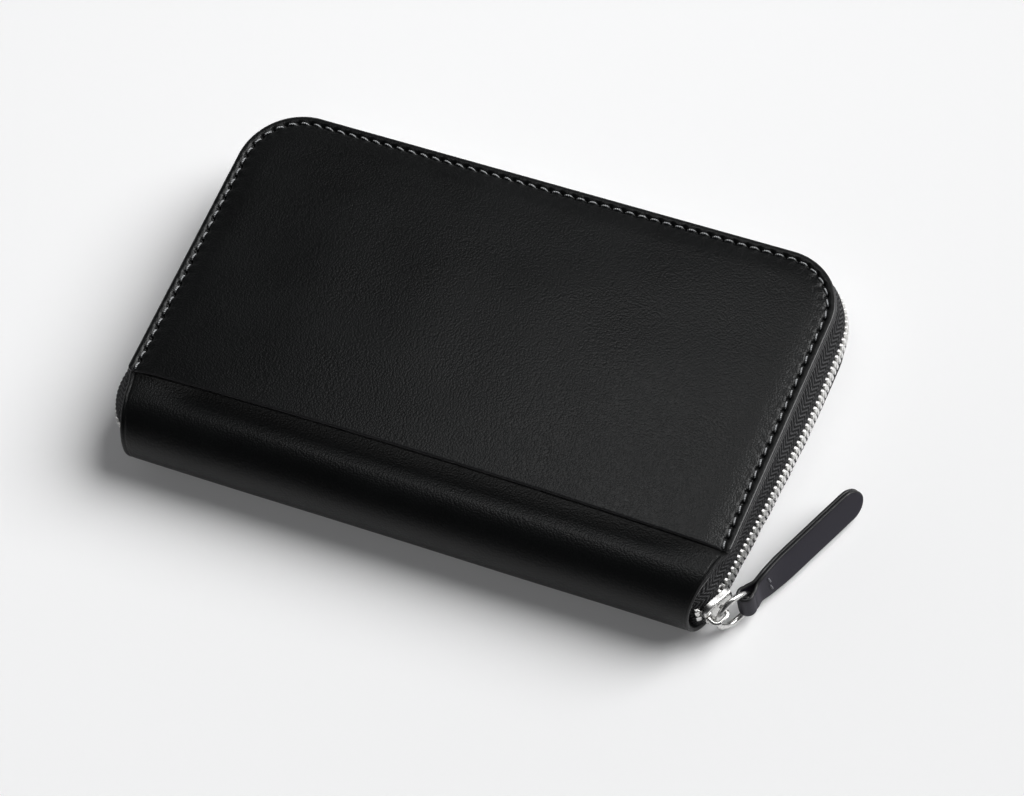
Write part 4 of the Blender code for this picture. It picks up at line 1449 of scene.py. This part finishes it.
def twisted(points):
    """Places points of the straight strap, which leans back a little toward its tip."""
    eye, along, tangent, face = pull_axes()
    turn = (STRAP_TWIST * smooth((points[:, 0] + 1.0) / 15.0))[:, None]
    y, z = points[:, 1:2], points[:, 2:]
    across = y * np.cos(turn) - z * np.sin(turn)
    through = y * np.sin(turn) + z * np.cos(turn)
    return eye + points[:, :1] * along + across * tangent + through * face


def strap_half_width(x):
    """Half the strap's width: a narrow neck at the ring, a slight flare and a round tip."""
    start = PULL_L - PULL_TIP_R
    flare = min(1.0, max(0.0, (x - 8.0) / (start - 8.0)))
    wide = SHOULDER_HALF_W + (PULL_TIP_R - SHOULDER_HALF_W) * flare
    if x > start:
        return PULL_TIP_R * math.sqrt(max(0.0, 1.0 - ((x - start) / PULL_TIP_R) ** 2))
    return NECK_HALF_W + (wide - NECK_HALF_W) * float(smooth((x - 0.5) / 6.0))


def strap_centre_line():
    """Centre line of the folded strip as (x, z): tip, round the ring, back to the tip."""
    lie = STRAP_T / 2.0 + 0.02
    start = PULL_L - PULL_TIP_R
    leg = [x for x, _ in arc(start, 0.0, PULL_TIP_R - 0.08, 0.0, 90.0, 12)]
    leg += [start - (start - LOOP_CLOSE) * i / 26.0 for i in range(1, 27)]
    line = [(x, lie) for x in leg]
    loop = arc(LOOP_SHIFT, 0.0, LOOP_R, LOOP_OPEN, 360.0 - LOOP_OPEN, 26)
    join_x, join_z = loop[0]
    for i in range(1, 9):
        t = i / 9.0
        z = lie + (join_z - lie) * float(smooth(t))
        line.append((LOOP_CLOSE + (join_x - LOOP_CLOSE) * t, z))
    return line + loop + [(x, -z) for x, z in reversed(line)]


def make_pull():
    """A leather strip folded round the ring, glued to itself and tacked with two stitches."""
    line = np.array(strap_centre_line())
    slope = unit(np.gradient(line, axis=0))
    normal = np.column_stack([-slope[:, 1], slope[:, 0]])
    shares = np.array((-1.0, -0.93, -0.8, -0.5, -0.2, 0.2, 0.5, 0.8, 0.93, 1.0))
    half = [max(0.05, strap_half_width(x) - STRAP_EDGE_R) for x in line[:, 0]]
    y = np.array(half)[:, None] * shares

    def face(offset):
        x, z = (line[:, k:k + 1] + normal[:, k:k + 1] * offset for k in (0, 1))
        return on_grid(x, y, z)

    outer = face(STRAP_BOW * np.abs(shares) ** 6 - STRAP_T / 2.0)
    inner = face(STRAP_T / 2.0)
    rest = on_grid(lengths_along(line)[:, None], y, 0.0)
    verts, faces, marks = shell_from_grid(outer, inner, 1.0, (STRAP_EDGE_R, 6, 1.0))
    marks = [mark % 2 for mark in marks]
    rest = shell_rest(verts, rest, rest + (0.0, 40.0, 0.0))
    item = make_object(
        "leather_pull", twisted(verts), faces, [PULL_LEATHER.mat, EDGE_PAINT.mat], marks, rest
    )
    place(item, "pull_tab", ["pull_tab"])

    merger = Merger()
    for side in (-1.0, 1.0):
        for centre in (-1.65, 1.65):
            a = np.array((6.9, centre - 1.25, side * (STRAP_T + 0.06)))
            b = np.array((6.4, centre + 1.25, side * (STRAP_T + 0.06)))
            start, end = twisted(np.array((a, b)))
            up = unit(twisted(np.array((a + (0.0, 0.0, side),)))[0] - start)
            add_stitch(merger, start, end, up, radius=0.34, sag=0.45, arch=0.10)
    item = merger.make("pull_stitches", [DARK_THREAD.mat])
    place(item, "pull_tab")


# ---------------------------------------------------------------- inside


def make_lining():
    """Twill lining of both halves, one cloth across the spine."""
    edge_r = 0.25
    lower_depth = WRAP_T + 2.0 * GAP + TAPE_T + 0.2
    upper_depth = WRAP_T + POCKET_DISH + 2.0 * GAP + 0.8
    profile = wrap_profile(0.0, 20)
    shares = np.array(column_shares(4, 40))
    grids = []
    for extra in (0.0, LINING_T):
        rows = []
        for y, z, side, turned, _ in profile:
            turn = turned / 2.0 if side < 0 else 1.0 - turned / 2.0
            depth = lower_depth + (upper_depth - lower_depth) * float(smooth(turn)) + extra
            shrink = (SPINE_R - depth) / SPINE_R
            y_in, left, right = row_ends(y, LINING_INSET + edge_r, side, turned, 0.8)
            if turned > 0.0:
                y_in = SPINE_Y + (y - SPINE_Y) * shrink
            rows.append(on_grid(left + (right - left) * shares, y_in, MID_Z + (z - MID_Z) * shrink))
        grids.append(np.array(rows))
    outer, inner = grids
    rest = on_grid(outer[..., 0], np.array([row[4] for row in profile])[:, None], 0.0)
    verts, faces, _ = shell_from_grid(outer, inner, 1.0, (edge_r, 4, 1.0))
    rest = shell_rest(verts, rest, rest)
    item = make_object("inner_lining", verts, faces, [LINING.mat], rest=rest)
    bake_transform(item)
    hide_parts("lower_lining", "upper_lining")


def make_sleeve(name, node, body, notch_half, notch_depth, up, seed):
    """A leather pocket panel inside: soft edges, a thumb notch in front and a sewn outline.

    up is +1 where the lower cover carries it and -1 where the upper cover does.
    """
    low, high = cad_box(node)
    middle = (low.x + high.x) / 2.0
    edge_r = 0.3

    def notch(x):
        t = np.clip(np.abs(x - middle) / notch_half, 0.0, 1.0)
        return notch_depth * np.cos(t * math.pi / 2.0) ** 2

    def outline(inset, spacing):
        points = rounded_rect(low.x, high.x, low.y, high.y, (1.5,) * 4, inset, spacing)
        front = low.y + inset + 0.01
        return [(x, y + notch(x) if y < front else y) for x, y in points]

    def face(x, y):
        seam = np.minimum(np.minimum(x - low.x, high.x - x), high.y - y)
        fore = y - low.y - notch(x)
        groove = 0.16 * bell((seam - SLEEVE_SEAM) / 0.5)
        crease = 0.14 * bell((fore - 1.6) / CREASE_WIDTH)
        fall = 0.18 * bell(np.minimum(seam, fore) / 0.5)
        return 0.05 * undulation(x, y, 26.0, seed) * smooth(seam / 9.0) - groove - crease - fall

    def top(x, y):
        return high.z + (face(x, y) if up > 0 else 0.0 * x)

    def bottom(x, y):
        return low.z - (face(x, y) if up < 0 else 0.0 * x)

    points = []
    for inset in seam_insets(0.55, 5.0, SLEEVE_SEAM, 0.3, 0.1):
        points += outline(inset, 1.0)
    for x, y in filling(low.x + 6.0, high.x - 6.0, low.y + 6.0, high.y - 6.0, 2.0):
        if y > low.y + notch(x) + 5.5:
            points.append((x, y))
    border = (edge_r, 5, 1.0)
    verts, faces, marks = panel_from_outline(outline(edge_r, 0.9), points, top, bottom, border)
    marks = [mark % 2 for mark in marks]
    item = make_object(name, verts, faces, [INNER_LEATHER.mat, EDGE_PAINT.mat], marks)
    place(item, body, [node])

    merger = Merger()
    z = high.z - 0.05 if up > 0 else low.z + 0.05
    left, right, back = low.x + SLEEVE_SEAM, high.x - SLEEVE_SEAM, high.y - SLEEVE_SEAM
    front = low.y + 1.5
    side_count = int((back - front) / SLEEVE_PITCH)
    back_count = int((right - left) / SLEEVE_PITCH)
    back_step = ((right - left) / back_count, 0.0, 0.0)
    side_step = (0.0, SLEEVE_PITCH, 0.0)
    for start, step, count in (
        ((left, front, z), side_step, side_count),
        ((right, front, z), side_step, side_count),
        ((left, back, z), back_step, back_count),
    ):
        for k in range(count):
            a, b = (start + np.array(step) * (k + share) for share in (0.15, 0.85))
            add_stitch(
                merger, a, b, (0, 0, up), radius=0.2, sag=0.25, arch=0.05, steps=5, sides=5
            )
    item = merger.make(name + "_stitches", [DARK_THREAD.mat])
    place(item, body)


def make_inside():
    """Lining, sleeves and card slots, and the look of the stiffening boards."""
    make_lining()
    make_sleeve("passport_pocket", "passport_sleeve", "lower_half", 16.0, 6.0, 1, 21)
    make_sleeve("ticket_pocket", "ticket_sleeve", "lower_half", 16.0, 6.0, 1, 22)
    make_sleeve("note_pocket", "note_sleeve", "upper_half", 16.0, 5.0, -1, 23)
    for i in range(4):
        node = "card_slot_%d" % (i + 1)
        make_sleeve("card_pocket_%d" % (i + 1), node, "upper_half", 10.0, 3.0, -1, 24 + i)
    for node in ("lower_board", "upper_board"):
        slots = frame["nodes"][node].data.materials
        slots.clear()
        slots.append(BOARD.mat)


make_camera()
make_studio()
make_wrap()
make_pocket()
make_seams()
make_tape("tape_lower", -1, "lower_half", "zip_tape_lower")
make_tape("tape_upper", 1, "upper_half", "zip_tape_upper")
make_teeth("teeth_lower", -1, 0, "lower_half", "zip_teeth_lower")
make_teeth("teeth_upper", 1, 1, "upper_half", "zip_teeth_upper")
make_stops()
make_slider()
make_ring()
make_pull()
make_inside()
